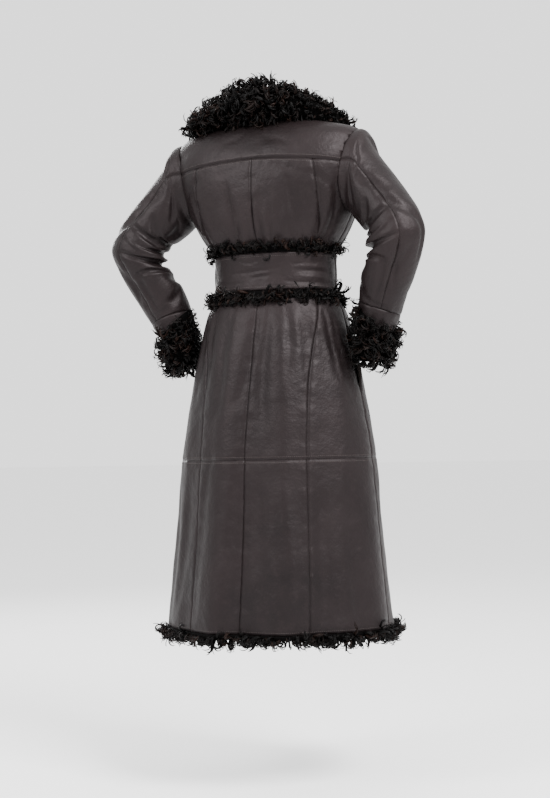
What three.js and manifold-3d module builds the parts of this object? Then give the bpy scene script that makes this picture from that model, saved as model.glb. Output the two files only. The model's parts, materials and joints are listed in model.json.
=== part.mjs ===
// A long belted shearling coat, held in the pose of its wearer with both hands at the pockets. Millimetres,
// +Z up, -Y is the coat's front and +X the wearer's left. The origin is the middle of the neckline.
import * as THREE from "three";
import Module from "manifold-3d";

const wasm = await Module();
wasm.setup();

// Driving sizes
const COAT_LENGTH = 1215; // neckline to the leather edge of the hem
const WALL = 4; // shearling skin
const SEAM_GAP = 0.36; // between sewn panels
const BELT_TOP = -330;
const BELT_BOTTOM = -418;
const WAIST_SEAM = (BELT_TOP + BELT_BOTTOM) / 2;
const SKIRT_SEAM = -817;
const BELT_THICKNESS = 4;
const POCKET = { top: -500, bottom: -664, gape: 24, lift: 9 };
const HEM_FUR = { drop: 24, out: 13, inward: 15 };
const BELT_FUR = { thick: 17 };
const CUFF_FUR = { thick: 15, bodySide: 4, past: 0.5 };

// Rows of numbers as objects under named columns.
function table(columns, rows) {
  return rows.map((row) => Object.fromEntries(columns.map((name, i) => [name, row[i]])));
}

// Rings of the body by height at centre back: half width, depth behind and before the wearer's side line,
// squareness, forward shift of the centre, lift of the ring at the shoulders, angles of the centre and
// princess seams, and the front edge's angle past centre front (negative where the neck is open).
const BODY = table(
  ["h", "half", "back", "front", "square", "shift", "lift", "centre", "princess", "edge"],
  [
    [-1215, 272, 245, 226, 2.1, 0, 0, 3, 37, 20],
    [-1100, 262, 231, 213, 2.1, 0, 0, 3, 38, 20],
    [-960, 250, 212, 198, 2.1, 0, 0, 3, 39, 20],
    [-817, 239, 196, 184, 2.1, 0, 0, 3, 40, 20],
    [-664, 216, 174, 166, 2.1, 0, 0, 1.5, 44, 20],
    [-540, 190, 153, 149, 2.1, 0, 0, 0, 53, 20],
    [-470, 173, 135, 133, 2.1, 0, 0, -1.5, 60, 20],
    [-424, 151, 114, 113, 2.1, 0, 0, -2, 63, 20],
    [-374, 145, 108, 107, 2.1, 0, 0, -1.5, 63, 20],
    [-326, 149, 112, 111, 2.1, 0, 0, -1, 63, 6],
    [-296, 172, 126, 122, 2.2, 2, 0, -1, 62, 0],
    [-250, 198, 137, 129, 2.3, 4, 0, 0, 59, -9],
    [-200, 216, 138, 131, 2.4, 6, 0, 0, 56, -20],
    [-150, 229, 135, 127, 2.6, 8, 0, 0, 54, -32],
    [-120, 237, 131, 120, 2.6, 8, 2, 0, 53, -40],
    [-92, 242, 123, 110, 2.5, 8, 8, 0, 52, -48],
    [-70, 238, 113, 99, 2.4, 7, 14, 0, 50, -55],
    [-50, 222, 102, 88, 2.3, 6, 13, 0, 48, -62],
    [-34, 188, 92, 78, 2.2, 5, 9, 0, 46, -68],
    [-18, 138, 80, 70, 2.1, 3, 4, 0, 44, -74],
    [0, 84, 64, 62, 2, 0, 0, 0, 42, -80],
  ],
);

// Soft folds of the body: angle from centre back, drift in degrees over the fold's height, the heights it
// spans, its depth at the upper and the lower end (outward positive) and its half width in degrees.
const BODY_FOLDS = [
  { angle: -4, drift: 6, top: -430, bottom: -1215, above: -3, below: -11, spread: 15 },
  { angle: 21, drift: -3, top: -440, bottom: -1215, above: 3, below: 9, spread: 14 },
  { angle: -27, drift: 4, top: -432, bottom: -1215, above: 5, below: 8, spread: 13 },
  { angle: 50, drift: -8, top: -450, bottom: -1215, above: -3, below: -9, spread: 14 },
  { angle: -58, drift: 12, top: -450, bottom: -1215, above: -4, below: -9, spread: 14 },
  { angle: 76, drift: -4, top: -700, bottom: -1215, above: 1, below: 9, spread: 14 },
  { angle: -80, drift: 2, top: -700, bottom: -1215, above: 1, below: 10, spread: 14 },
  { angle: 112, drift: 0, top: -520, bottom: -1215, above: -2, below: -10, spread: 15 },
  { angle: -112, drift: 0, top: -520, bottom: -1215, above: -2, below: -10, spread: 15 },
  { angle: 138, drift: 2, top: -450, bottom: -1215, above: 3, below: 9, spread: 14 },
  { angle: -140, drift: -2, top: -450, bottom: -1215, above: 3, below: 8, spread: 14 },
  { angle: 8, drift: -3, top: -175, bottom: -318, above: 0, below: -7, spread: 8 },
  { angle: -12, drift: 5, top: -165, bottom: -318, above: 0, below: -6, spread: 7 },
  { angle: -29, drift: 4, top: -190, bottom: -318, above: 0, below: -7, spread: 8 },
  { angle: 28, drift: -5, top: -170, bottom: -318, above: 0, below: -8, spread: 9 },
  { angle: 46, drift: -8, top: -200, bottom: -318, above: 0, below: -6, spread: 8 },
  { angle: -49, drift: 6, top: -200, bottom: -318, above: 0, below: -7, spread: 8 },
  { angle: 72, drift: -6, top: -225, bottom: -318, above: 0, below: -8, spread: 9 },
  { angle: -72, drift: 6, top: -225, bottom: -318, above: 0, below: -8, spread: 9 },
  { angle: 112, drift: 3, top: -190, bottom: -318, above: 0, below: -7, spread: 9 },
  { angle: -112, drift: -3, top: -190, bottom: -318, above: 0, below: -7, spread: 9 },
  { angle: 140, drift: 3, top: -230, bottom: -318, above: 0, below: -6, spread: 9 },
  { angle: -140, drift: -3, top: -230, bottom: -318, above: 0, below: -6, spread: 9 },
];

// Rings of the left sleeve: the outer line over the arm, the inner line under it, the ring's centre and
// half depth from back to front.
const SLEEVE = [
  { outX: 186, outZ: -52, inX: 150, inZ: -222, y: 14, deep: 70 },
  { outX: 240, outZ: -44, inX: 205, inZ: -236, y: 18, deep: 76 },
  { outX: 258, outZ: -60, inX: 215, inZ: -250, y: 22, deep: 78 },
  { outX: 276, outZ: -100, inX: 226, inZ: -262, y: 29, deep: 76 },
  { outX: 320, outZ: -157, inX: 240, inZ: -276, y: 41, deep: 71 },
  { outX: 358, outZ: -206, inX: 254, inZ: -290, y: 55, deep: 67 },
  { outX: 388, outZ: -254, inX: 264, inZ: -306, y: 67, deep: 64 },
  { outX: 402, outZ: -298, inX: 266, inZ: -326, y: 72, deep: 62 },
  { outX: 389, outZ: -348, inX: 260, inZ: -348, y: 64, deep: 60 },
  { outX: 365, outZ: -400, inX: 246, inZ: -370, y: 49, deep: 58 },
  { outX: 339, outZ: -448, inX: 231, inZ: -413, y: 34, deep: 56 },
  { outX: 313, outZ: -500, inX: 221, inZ: -466, y: 18, deep: 54 },
  { outX: 288, outZ: -543, inX: 215, inZ: -524, y: 7, deep: 51 },
  { outX: 273, outZ: -580, inX: 213, inZ: -572, y: 1, deep: 49 },
];

// Creases of the sleeve: ring position, centre and half spread round the arm (0 outside, 90 behind, 180
// inside), half width in rings and depth.
const SLEEVE_FOLDS = [
  { ring: 5.2, around: 168, spread: 80, width: 0.5, depth: -9 },
  { ring: 6.3, around: 180, spread: 86, width: 0.42, depth: -12 },
  { ring: 7.5, around: 176, spread: 84, width: 0.5, depth: -13 },
  { ring: 8.9, around: 190, spread: 70, width: 0.55, depth: -8 },
  { ring: 6.9, around: 176, spread: 70, width: 0.35, depth: 5 },
  { ring: 2.6, around: 20, spread: 60, width: 0.6, depth: -4 },
];
const SLEEVE_SEAM_BACK = 66;
const SLEEVE_SEAM_FRONT = 246;
const CUFF_SEAM = 10.7;
const SLEEVE_END = 13;

// Half of the collar from centre back to the end of the lapel: where its inner and outer edges lie on the
// body (angle and height) and how far the fur stands there over the inner edge, the crest and the outer
// edge.
const COLLAR = [
  { inAngle: 0, inH: -2, outAngle: 0, outH: -20, neck: 62, crest: 94, rim: 52 },
  { inAngle: 30, inH: -2, outAngle: 30, outH: -22, neck: 62, crest: 93, rim: 50 },
  { inAngle: 60, inH: -2, outAngle: 57, outH: -33, neck: 60, crest: 82, rim: 38 },
  { inAngle: 82, inH: -2, outAngle: 78, outH: -46, neck: 56, crest: 66, rim: 24 },
  { inAngle: 98, inH: -3, outAngle: 95, outH: -47, neck: 52, crest: 62, rim: 24 },
  { inAngle: 107, inH: -18, outAngle: 108, outH: -64, neck: 44, crest: 58, rim: 26 },
  { inAngle: 120, inH: -54, outAngle: 113, outH: -104, neck: 34, crest: 48, rim: 24 },
  { inAngle: 138, inH: -112, outAngle: 120, outH: -160, neck: 28, crest: 42, rim: 22 },
  { inAngle: 156, inH: -180, outAngle: 134, outH: -222, neck: 24, crest: 38, rim: 20 },
  { inAngle: 170, inH: -246, outAngle: 152, outH: -274, neck: 20, crest: 32, rim: 18 },
  { inAngle: 177, inH: -288, outAngle: 168, outH: -294, neck: 15, crest: 20, rim: 14 },
];

const radians = THREE.MathUtils.degToRad;
const clamp = THREE.MathUtils.clamp;
const lerp = THREE.MathUtils.lerp;
const smooth = (x, from, to) => THREE.MathUtils.smoothstep(x, from, to);

// A smooth curve without overshoot through one column of a table.
function curve(table, by, name) {
  const xs = table.map((row) => (by ? row[by] : table.indexOf(row)));
  const ys = table.map((row) => row[name]);
  const slopes = xs.slice(1).map((x, i) => (ys[i + 1] - ys[i]) / (x - xs[i]));
  const tangents = xs.map((_, i) => {
    const before = slopes[i - 1] ?? slopes[i];
    const after = slopes[i] ?? slopes[i - 1];
    return before * after <= 0 ? 0 : (2 * before * after) / (before + after);
  });
  return (x) => {
    let i = xs.findIndex((end, k) => k > 0 && x <= end) - 1;
    if (i < 0) i = x < xs[0] ? 0 : xs.length - 2;
    const width = xs[i + 1] - xs[i];
    const t = (x - xs[i]) / width;
    if (t < 0) return ys[i] + tangents[i] * (x - xs[i]);
    if (t > 1) return ys[i + 1] + tangents[i + 1] * (x - xs[i + 1]);
    const t2 = t * t;
    const t3 = t2 * t;
    return (
      ys[i] * (2 * t3 - 3 * t2 + 1) +
      tangents[i] * width * (t3 - 2 * t2 + t) +
      ys[i + 1] * (3 * t2 - 2 * t3) +
      tangents[i + 1] * width * (t3 - t2)
    );
  };
}
const curves = (table, by, names) => Object.fromEntries(names.map((n) => [n, curve(table, by, n)]));

const body = curves(BODY, "h", Object.keys(BODY[0]).slice(1));
const sleeve = curves(SLEEVE, null, ["outX", "outZ", "inX", "inZ", "y", "deep"]);
const collar = curves(COLLAR, null, ["inAngle", "inH", "outAngle", "outH", "neck", "crest", "rim"]);

// A soft bump of height 1 that falls to 0 at one spread from its middle.
const bump = (x) => (Math.abs(x) < 1 ? Math.cos((x * Math.PI) / 2) ** 2 : 0);
const turn = (angle) => ((((angle + 180) % 360) + 360) % 360) - 180;

function bodyFolds(angle, h) {
  let sum = 0;
  for (const fold of BODY_FOLDS) {
    const share = (fold.top - h) / (fold.top - fold.bottom);
    if (share <= 0 || share >= 1.08) continue;
    const ends = smooth(share, 0, 0.2) * (1 - smooth(share, 1.0, 1.08));
    const depth = lerp(fold.above, fold.below, clamp(share, 0, 1));
    sum += depth * ends * bump(turn(angle - fold.angle - fold.drift * share) / fold.spread);
  }
  return sum;
}

// The leather's outer surface. Angle 0 is centre back and +90 the wearer's left side.
function bodySurface(angle, h) {
  const a = radians(angle);
  const depth = Math.cos(a) >= 0 ? body.back(h) : body.front(h);
  const n = body.square(h);
  const r = (Math.abs(Math.sin(a) / body.half(h)) ** n + Math.abs(Math.cos(a) / depth) ** n) ** (-1 / n);
  const out = r + bodyFolds(angle, h);
  const side = Math.sin(a) ** 2;
  return new THREE.Vector3(out * Math.sin(a), body.shift(h) + out * Math.cos(a), h + body.lift(h) * side);
}

const unit = (from, to) => to.clone().sub(from).normalize();

function bodyNormal(angle, h) {
  const around = unit(bodySurface(angle - 1, h), bodySurface(angle + 1, h));
  const up = unit(bodySurface(angle, h - 2), bodySurface(angle, h + 2));
  return up.cross(around).normalize();
}

const bodyPoint = (angle, h, out) => bodySurface(angle, h).addScaledVector(bodyNormal(angle, h), out);
const bodyRadius = (angle, h) => Math.hypot(bodySurface(angle, h).x, bodySurface(angle, h).y);
const degreesFor = (mm, angle, h) => THREE.MathUtils.radToDeg(mm / bodyRadius(angle, h));

function sleeveSurface(around, ring) {
  const out = new THREE.Vector3(sleeve.outX(ring), sleeve.y(ring), sleeve.outZ(ring));
  const inner = new THREE.Vector3(sleeve.inX(ring), sleeve.y(ring), sleeve.inZ(ring));
  const centre = out.clone().add(inner).multiplyScalar(0.5);
  const wide = out.sub(inner).multiplyScalar(0.5);
  let relief = 0;
  for (const f of SLEEVE_FOLDS)
    relief += f.depth * bump((ring - f.ring) / f.width) * bump(turn(around - f.around) / f.spread);
  const grow = 1 + relief / wide.length();
  const a = radians(around);
  return centre
    .addScaledVector(wide, Math.cos(a) * grow)
    .add(new THREE.Vector3(0, sleeve.deep(ring) * Math.sin(a) * grow, 0));
}

function sleevePoint(around, ring, out) {
  const along = unit(sleeveSurface(around, ring - 0.05), sleeveSurface(around, ring + 0.05));
  const across = unit(sleeveSurface(around - 2, ring), sleeveSurface(around + 2, ring));
  return sleeveSurface(around, ring).addScaledVector(along.cross(across).normalize(), out);
}

// A closed solid between two grids of points. Rows run along the first index; a ring closes the second.
function shell(outer, inner, ring = false) {
  const rows = outer.length;
  const cols = outer[0].length;
  const points = [...outer.flat(), ...inner.flat()];
  const index = (side, i, j) => side * rows * cols + i * cols + (j % cols);
  const faces = [];
  const quad = (a, b, c, d) => faces.push(a, b, c, a, c, d);
  const spans = ring ? cols : cols - 1;
  for (let i = 0; i < rows - 1; i++)
    for (let j = 0; j < spans; j++) {
      quad(index(0, i, j), index(0, i, j + 1), index(0, i + 1, j + 1), index(0, i + 1, j));
      quad(index(1, i, j), index(1, i + 1, j), index(1, i + 1, j + 1), index(1, i, j + 1));
    }
  for (let j = 0; j < spans; j++) {
    quad(index(1, 0, j), index(1, 0, j + 1), index(0, 0, j + 1), index(0, 0, j));
    quad(index(0, rows - 1, j + 1), index(1, rows - 1, j + 1), index(1, rows - 1, j), index(0, rows - 1, j));
  }
  if (!ring)
    for (let i = 0; i < rows - 1; i++) {
      quad(index(1, i, 0), index(0, i, 0), index(0, i + 1, 0), index(1, i + 1, 0));
      quad(index(1, i, cols - 1), index(1, i + 1, cols - 1), index(0, i + 1, cols - 1), index(0, i, cols - 1));
    }
  return toSolid(points, faces);
}

// A closed tube of rings, each ring a closed outline of points, with flat ends.
function loft(rings) {
  const count = rings[0].length;
  const points = rings.flat();
  const faces = [];
  for (let i = 0; i < rings.length - 1; i++)
    for (let j = 0; j < count; j++) {
      const k = (j + 1) % count;
      const at = i * count;
      faces.push(at + j, at + k, at + count + k, at + j, at + count + k, at + count + j);
    }
  const last = (rings.length - 1) * count;
  for (let j = 1; j < count - 1; j++) faces.push(0, j + 1, j, last, last + j, last + j + 1);
  return toSolid(points, faces);
}

// The same, with the last ring joined back to the first.
function ringLoft(rings) {
  const count = rings[0].length;
  const points = rings.flat();
  const faces = [];
  for (let i = 0; i < rings.length; i++)
    for (let j = 0; j < count; j++) {
      const k = (j + 1) % count;
      const at = i * count;
      const next = ((i + 1) % rings.length) * count;
      faces.push(at + j, at + k, next + k, at + j, next + k, next + j);
    }
  return toSolid(points, faces);
}

function toSolid(points, faces) {
  const vertProperties = new Float32Array(points.flatMap((p) => [p.x, p.y, p.z]));
  const make = (triVerts) =>
    new wasm.Manifold(new wasm.Mesh({ numProp: 3, vertProperties, triVerts: new Uint32Array(triVerts) }));
  const solid = make(faces);
  if (solid.volume() > 0) return solid;
  const turned = [];
  for (let i = 0; i < faces.length; i += 3) turned.push(faces[i], faces[i + 2], faces[i + 1]);
  return make(turned);
}

const steps = (count) => Array.from({ length: count + 1 }, (_, i) => i / count);

// A panel of the body between two seam lines and two heights. The seams are functions of height, dip lowers
// a row by angle where a seam isn't level, and sink moves the cloth inwards where another layer lies over
// it.
function bodyPanel({ from, to, rows, columns, dip = () => 0, sink = () => 0, skin = [0, -WALL] }) {
  const last = rows.length - 1;
  const grid = (out) =>
    rows.map((row, i) => {
      const h = row + (i === 0 ? SEAM_GAP / 2 : i === last ? -SEAM_GAP / 2 : 0);
      const angles = columns.flatMap((count, part) => {
        const start = from[part](h);
        const end = from[part + 1] ? from[part + 1](h) : to(h);
        return steps(count)
          .slice(part === 0 ? 0 : 1)
          .map((u) => lerp(start, end, u));
      });
      angles[0] += degreesFor(SEAM_GAP / 2, angles[0], h);
      angles[angles.length - 1] -= degreesFor(SEAM_GAP / 2, angles.at(-1), h);
      return angles.map((angle) => bodyPoint(angle, h + dip(angle, h), out + sink(angle, h)));
    });
  return shell(grid(skin[0]), grid(skin[1]));
}

// The lens-shaped opening of the side-seam pockets, as half its width in degrees.
const pocketGape = (h) => {
  const share = (h - POCKET.bottom) / (POCKET.top - POCKET.bottom);
  return share > 0 && share < 1 ? (POCKET.gape / 2) * Math.sin(Math.PI * share ** 1.25) ** 0.8 : 0;
};
const SIDE_SEAM = 88;
const sideBack = (h) => SIDE_SEAM - degreesFor(pocketGape(h), SIDE_SEAM, h);
const sideFront = (h) => SIDE_SEAM + degreesFor(pocketGape(h), SIDE_SEAM, h);
const pocketLift = (angle, h) => {
  const share = clamp((h - POCKET.bottom) / (POCKET.top - POCKET.bottom), 0, 1);
  return POCKET.lift * Math.sin(Math.PI * share) * bump((Math.abs(turn(angle)) - SIDE_SEAM) / 14);
};
const centreBack = (h) => body.centre(h);
const princess = (h) => body.princess(h);
const frontEdge = (h) => 180 + body.edge(h);
const wrapStart = (h) => 180 - Math.max(body.edge(h), 3 - body.edge(h));

// Rows of the panels. The yoke seam sags towards the armholes, and the rows beside it sag with it.
const YOKE_SEAM = -108;
const YOKE_SAG = 31;
const BODICE_ROWS = [WAIST_SEAM, BELT_TOP, -313, -297, -272, -240, -205, -170, -138, YOKE_SEAM];
const YOKE_ROWS = [YOKE_SEAM, -90, -70, -50, -34, -18, 0];
const FRONT_ROWS = [...BODICE_ROWS.slice(0, -1), -112, ...YOKE_ROWS.slice(1)];
const POCKET_ROWS = [POCKET.bottom, -624, -582, -540, POCKET.top];
const SKIRT_ROWS = [SKIRT_SEAM, -766, -715, ...POCKET_ROWS, -465, -440, BELT_BOTTOM, WAIST_SEAM];
const HEM_ROWS = [-COAT_LENGTH, -1150, -1085, -1015, -950, -884, SKIRT_SEAM];
const yokeDip = (angle, h) => {
  const near = h < YOKE_SEAM ? smooth(h, -260, YOKE_SEAM) : 1 - smooth(h, YOKE_SEAM, -20);
  return -YOKE_SAG * (turn(angle) / SIDE_SEAM) ** 2 * near;
};

// The left front lies under the right one where they wrap.
const WRAP_LAYER = WALL + 1.6;
const underWrap = (angle) => -WRAP_LAYER * smooth(angle, 144, 157);

const mirrored = (solid) => solid.mirror([1, 0, 0]);
const pieces = new Map();
const addPiece = (name, solid, material) => pieces.set(name, { solid, material });
const addPair = (name, solid, material) => {
  addPiece(name + "_left", solid, material);
  addPiece(name + "_right", mirrored(solid), material);
};

const LEATHER = { color: 0x2b2424, roughness: 0.5, metalness: 0 };
const FUR = { color: 0x0d0a0a, roughness: 0.95, metalness: 0 };

// The panels of one side. Those of the wearer's right are worked out at their own angles, because the folds
// differ.
const COLUMNS = { centre: 6, side: 5, front: 9, wrap: 4 };
const bodyPanels = new Map();
const collarCutters = [];
const CUTTER_SKIN = [0.9, -WALL - 3];
function addPanel(name, spec) {
  bodyPanels.set(name, bodyPanel(spec));
  if (/^bodice_front|yoke/.test(name)) collarCutters.push(bodyPanel({ ...spec, skin: CUTTER_SKIN }));
}
function sidePanels(side, word) {
  const add = (name, rows, seams, counts, more = {}) => {
    const mirrored = seams.map((line) => (line === centreBack ? line : (h) => -line(h))).reverse();
    const lines = side > 0 ? seams : mirrored;
    const columns = side > 0 ? counts : [...counts].reverse();
    addPanel(`${name}_${word}`, { rows, from: lines.slice(0, -1), to: lines.at(-1), columns, ...more });
  };
  const fronts = [COLUMNS.front, COLUMNS.wrap];
  const seam = () => SIDE_SEAM;
  const wrap = side > 0 ? underWrap : () => 0;
  const dip = yokeDip;
  const pocket = (angle, h) => wrap(angle) + pocketLift(angle, h);
  add("bodice_back_centre", BODICE_ROWS, [centreBack, princess], [COLUMNS.centre], { dip });
  add("bodice_back_side", BODICE_ROWS, [princess, seam], [COLUMNS.side], { dip });
  add("bodice_front", FRONT_ROWS, [seam, wrapStart, frontEdge], fronts, { sink: wrap });
  add("skirt_back_centre", SKIRT_ROWS, [centreBack, princess], [COLUMNS.centre]);
  add("skirt_back_side", SKIRT_ROWS, [princess, sideBack], [COLUMNS.side]);
  add("skirt_front", SKIRT_ROWS, [sideFront, wrapStart, frontEdge], fronts, { sink: pocket });
  add("hem_back_centre", HEM_ROWS, [centreBack, princess], [COLUMNS.centre]);
  add("hem_back_side", HEM_ROWS, [princess, seam], [COLUMNS.side]);
  add("hem_front", HEM_ROWS, [seam, wrapStart, frontEdge], fronts, { sink: wrap });
}
sidePanels(1, "left");
sidePanels(-1, "right");
const yokeSeams = [() => -SIDE_SEAM, (h) => -princess(h), centreBack, princess];
addPanel("back_yoke", {
  rows: YOKE_ROWS,
  from: yokeSeams,
  to: () => SIDE_SEAM,
  columns: [5, 6, 6, 5],
  dip: yokeDip,
});

// The angles of every panel's columns all round, so that what lies on the coat follows its facets.
function ringAngles(h) {
  const span = (from, to, count) =>
    steps(count)
      .slice(0, -1)
      .map((u) => lerp(from, to, u));
  const centre = span(centreBack(h), princess(h), COLUMNS.centre);
  const rear = [...centre, ...span(princess(h), SIDE_SEAM, COLUMNS.side)];
  const under = span(SIDE_SEAM, wrapStart(h), COLUMNS.front);
  const over = [
    ...span(360 - frontEdge(h), 360 - wrapStart(h), COLUMNS.wrap),
    ...span(360 - wrapStart(h), 360 - SIDE_SEAM, COLUMNS.front),
  ];
  const turned = [
    ...span(360 - SIDE_SEAM, 360 - princess(h), COLUMNS.side),
    ...span(360 - princess(h), 360 + centreBack(h), COLUMNS.centre),
  ];
  return [...rear, ...under, ...over, ...turned];
}

// Filled forms used only for cutting: the torso grown a little, and the inside of a sleeve.
const torsoForm = loft(
  steps(26).map((v) => {
    const h = lerp(WAIST_SEAM, 0, v);
    return steps(84)
      .slice(0, -1)
      .map((u) => bodyPoint(360 * u, h, 1.3));
  }),
);
const sleeveInside = loft(
  steps(12).map((v) =>
    steps(24)
      .slice(0, -1)
      .map((u) => sleevePoint(360 * u, lerp(0, 4, v), -WALL)),
  ),
);

const armholeCut = (solid, side) => solid.subtract(side > 0 ? sleeveInside : mirrored(sleeveInside));
for (const [name, solid] of bodyPanels) {
  let cut = solid;
  if (/^bodice|^back_yoke/.test(name)) {
    if (!name.endsWith("_right")) cut = armholeCut(cut, 1);
    if (!name.endsWith("_left")) cut = armholeCut(cut, -1);
  }
  addPiece(name, cut, LEATHER);
}

// The two halves share their rows, and all tubes on the arm their columns.
const ARM_COLUMNS = 18;
const ARM_ROWS = [0, 1, 2, 3, 4, 4.8, 5.2, 5.6, 6, 6.35, 6.7, 7.1, 7.5, 7.95, 8.5, 9.1, 9.8, CUFF_SEAM];
const aroundArm = Array.from({ length: ARM_COLUMNS }, (_, i) => SLEEVE_SEAM_BACK + (360 * i) / ARM_COLUMNS);
function sleevePart(from, to) {
  const gap = (ring) => THREE.MathUtils.radToDeg(SEAM_GAP / 2 / sleeve.deep(ring));
  const grid = (out) =>
    ARM_ROWS.map((ring) =>
      steps(ARM_COLUMNS / 2).map((u) => sleevePoint(lerp(from + gap(ring), to - gap(ring), u), ring, out)),
    );
  return shell(grid(0), grid(-WALL)).subtract(torsoForm).simplify(0.05);
}
addPair("sleeve_top", sleevePart(SLEEVE_SEAM_FRONT - 360, SLEEVE_SEAM_BACK), LEATHER);
addPair("sleeve_under", sleevePart(SLEEVE_SEAM_BACK, SLEEVE_SEAM_FRONT), LEATHER);

function tubeWall(start, end, out, inner, rows) {
  const grid = (distance) =>
    steps(rows).map((v) =>
      aroundArm.map((around) => sleevePoint(around, lerp(start(around), end(around), v), distance(around, v))),
    );
  return shell(grid(out), grid(inner), true);
}
const CUFF_GAP_RINGS = 0.012;
addPair(
  "cuff_band",
  tubeWall(
    () => CUFF_SEAM + CUFF_GAP_RINGS,
    () => SLEEVE_END,
    () => 0,
    () => -WALL,
    4,
  ),
  LEATHER,
);

// The turned-back fur cuff reaches higher on the inside of the wrist and lies flat against the skirt.
const cuffTop = (around) => 10.95 - 0.45 * Math.cos(radians(around - 205));
const cuffFur = (around, v) => {
  const facing = smooth(Math.abs(turn(around - 180)), 35, 100);
  const round = Math.sin(Math.PI * clamp(0.12 + v * 0.8, 0, 1)) ** 0.5;
  return 0.6 + lerp(CUFF_FUR.bodySide, CUFF_FUR.thick, facing) * round;
};
addPair(
  "cuff_fur",
  tubeWall(
    cuffTop,
    () => SLEEVE_END + CUFF_FUR.past,
    cuffFur,
    () => 0.9,
    5,
  ),
  FUR,
);

// The collar: its underside lies on the body and its crown leans from straight up at the neck to square off
// the cloth.
function collarRing(station) {
  const side = Math.sign(station) || 1;
  const k = Math.abs(station);
  const pulled = side < 0 ? bump((k - 3.5) / 3.5) : 0;
  const heights = [
    { across: 0, tall: collar.neck(k), lean: 0.95 },
    { across: 0.12, tall: lerp(collar.neck(k), collar.crest(k), 0.85), lean: 0.85 },
    { across: 0.4, tall: collar.crest(k), lean: 0.6 },
    { across: 0.75, tall: lerp(collar.crest(k), collar.rim(k), 0.4), lean: 0.34 },
    { across: 1, tall: collar.rim(k), lean: 0.12 },
    { across: 1.0, tall: collar.rim(k) * 0.35, lean: 0.0 },
  ];
  const place = (across) => [
    side * lerp(collar.inAngle(k), collar.outAngle(k), across),
    lerp(collar.inH(k), lerp(collar.outH(k), collar.inH(k), 0.26 * pulled), across),
  ];
  const upright = clamp(1 - (k - 3.4) / 2.4, 0, 1);
  const crown = heights.map(({ across, tall, lean }) => {
    const [angle, h] = place(across);
    const direction = bodyNormal(angle, h).lerp(new THREE.Vector3(0, 0, 1), lean * upright).normalize();
    return bodySurface(angle, h).addScaledVector(direction, tall * (1 - 0.1 * pulled));
  });
  const sole = [1, 0.66, 0.33, 0].map((across) => bodyPoint(...place(across), 3.4));
  return [...crown, ...sole];
}
const collarEnd = COLLAR.length - 1;
const collarForm = loft(steps(30).map((v) => collarRing(lerp(-collarEnd, collarEnd, v))));
addPiece("collar", wasm.Manifold.difference([collarForm, ...collarCutters]).simplify(0.4), FUR);

// A band that lies on the body all round, at the given rows and two distances from the cloth.
function bodyBand(rows, out) {
  const grid = (distance) =>
    rows.map((h, i) => ringAngles(h).map((angle) => bodyPoint(angle, h, distance(i / (rows.length - 1)))));
  return shell(grid(out), grid(() => BELT_GAP), true);
}
const BELT_GAP = 0.7;
const BELT_OUT = BELT_GAP + BELT_THICKNESS;
const furHeight = (v) => BELT_GAP + 0.5 + BELT_FUR.thick * Math.sin(Math.PI * lerp(0.1, 0.9, v)) ** 0.6;
addPiece("belt", bodyBand([BELT_BOTTOM, WAIST_SEAM, BELT_TOP], () => BELT_OUT), LEATHER);
addPiece("belt_fur_top", bodyBand([BELT_TOP + 0.4, -313, -297], furHeight), FUR);
addPiece("belt_fur_bottom", bodyBand([-465, -440, BELT_BOTTOM - 0.4], furHeight), FUR);

// The end of the belt lies over its start beside centre front, with a rounded tip.
const BELT_END = { from: 176, to: 212, margin: 2 };
function beltEnd() {
  const grid = (out) =>
    steps(2).map((v) =>
      steps(8).map((u) => {
        const angle = lerp(BELT_END.from, BELT_END.to, u);
        const round = Math.sqrt(1 - 0.55 * smooth(u, 0.75, 1) ** 2);
        const half = ((BELT_TOP - BELT_BOTTOM) / 2 - BELT_END.margin) * round;
        return bodyPoint(angle, WAIST_SEAM + lerp(-half, half, v), out);
      }),
    );
  return shell(grid(BELT_OUT + BELT_GAP + BELT_THICKNESS), grid(BELT_OUT + BELT_GAP));
}
addPiece("belt_end", beltEnd(), LEATHER);

// A belt loop stands off the middle of the belt and touches it at both ends.
const LOOP = { width: 6, thick: 1.8, stand: 8, margin: 3 };
function beltLoop() {
  const half = degreesFor(LOOP.width / 2, SIDE_SEAM, WAIST_SEAM);
  const grid = (extra) =>
    steps(10).map((v) =>
      [-half, half].map((offset) => {
        const h = lerp(BELT_BOTTOM + LOOP.margin, BELT_TOP - LOOP.margin, v);
        const bow = LOOP.stand * Math.sin(Math.PI * v) ** 0.6;
        return bodyPoint(SIDE_SEAM + offset, h, BELT_OUT + 0.4 + bow + extra);
      }),
    );
  return shell(grid(LOOP.thick), grid(0));
}
addPair("belt_loop", beltLoop(), LEATHER);

// The pocket's inner wall closes the opening a little way behind it.
function pocketWall(side) {
  const reach = { angle: 11, above: 14, below: 16 };
  const depth = 11;
  const grid = (out) =>
    steps(7).map((v) =>
      steps(5).map((u) => {
        const angle = side * lerp(SIDE_SEAM - reach.angle, SIDE_SEAM + reach.angle, u);
        const h = lerp(POCKET.bottom - reach.below, POCKET.top + reach.above, v);
        const hollow = depth * Math.sin(Math.PI * u) ** 0.7 * Math.sin(Math.PI * v) ** 0.7;
        return bodyPoint(angle, h, out - WALL - 1.7 - hollow);
      }),
    );
  return shell(grid(0), grid(-2));
}
addPiece("pocket_left", pocketWall(1), LEATHER);
addPiece("pocket_right", pocketWall(-1), LEATHER);

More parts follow.
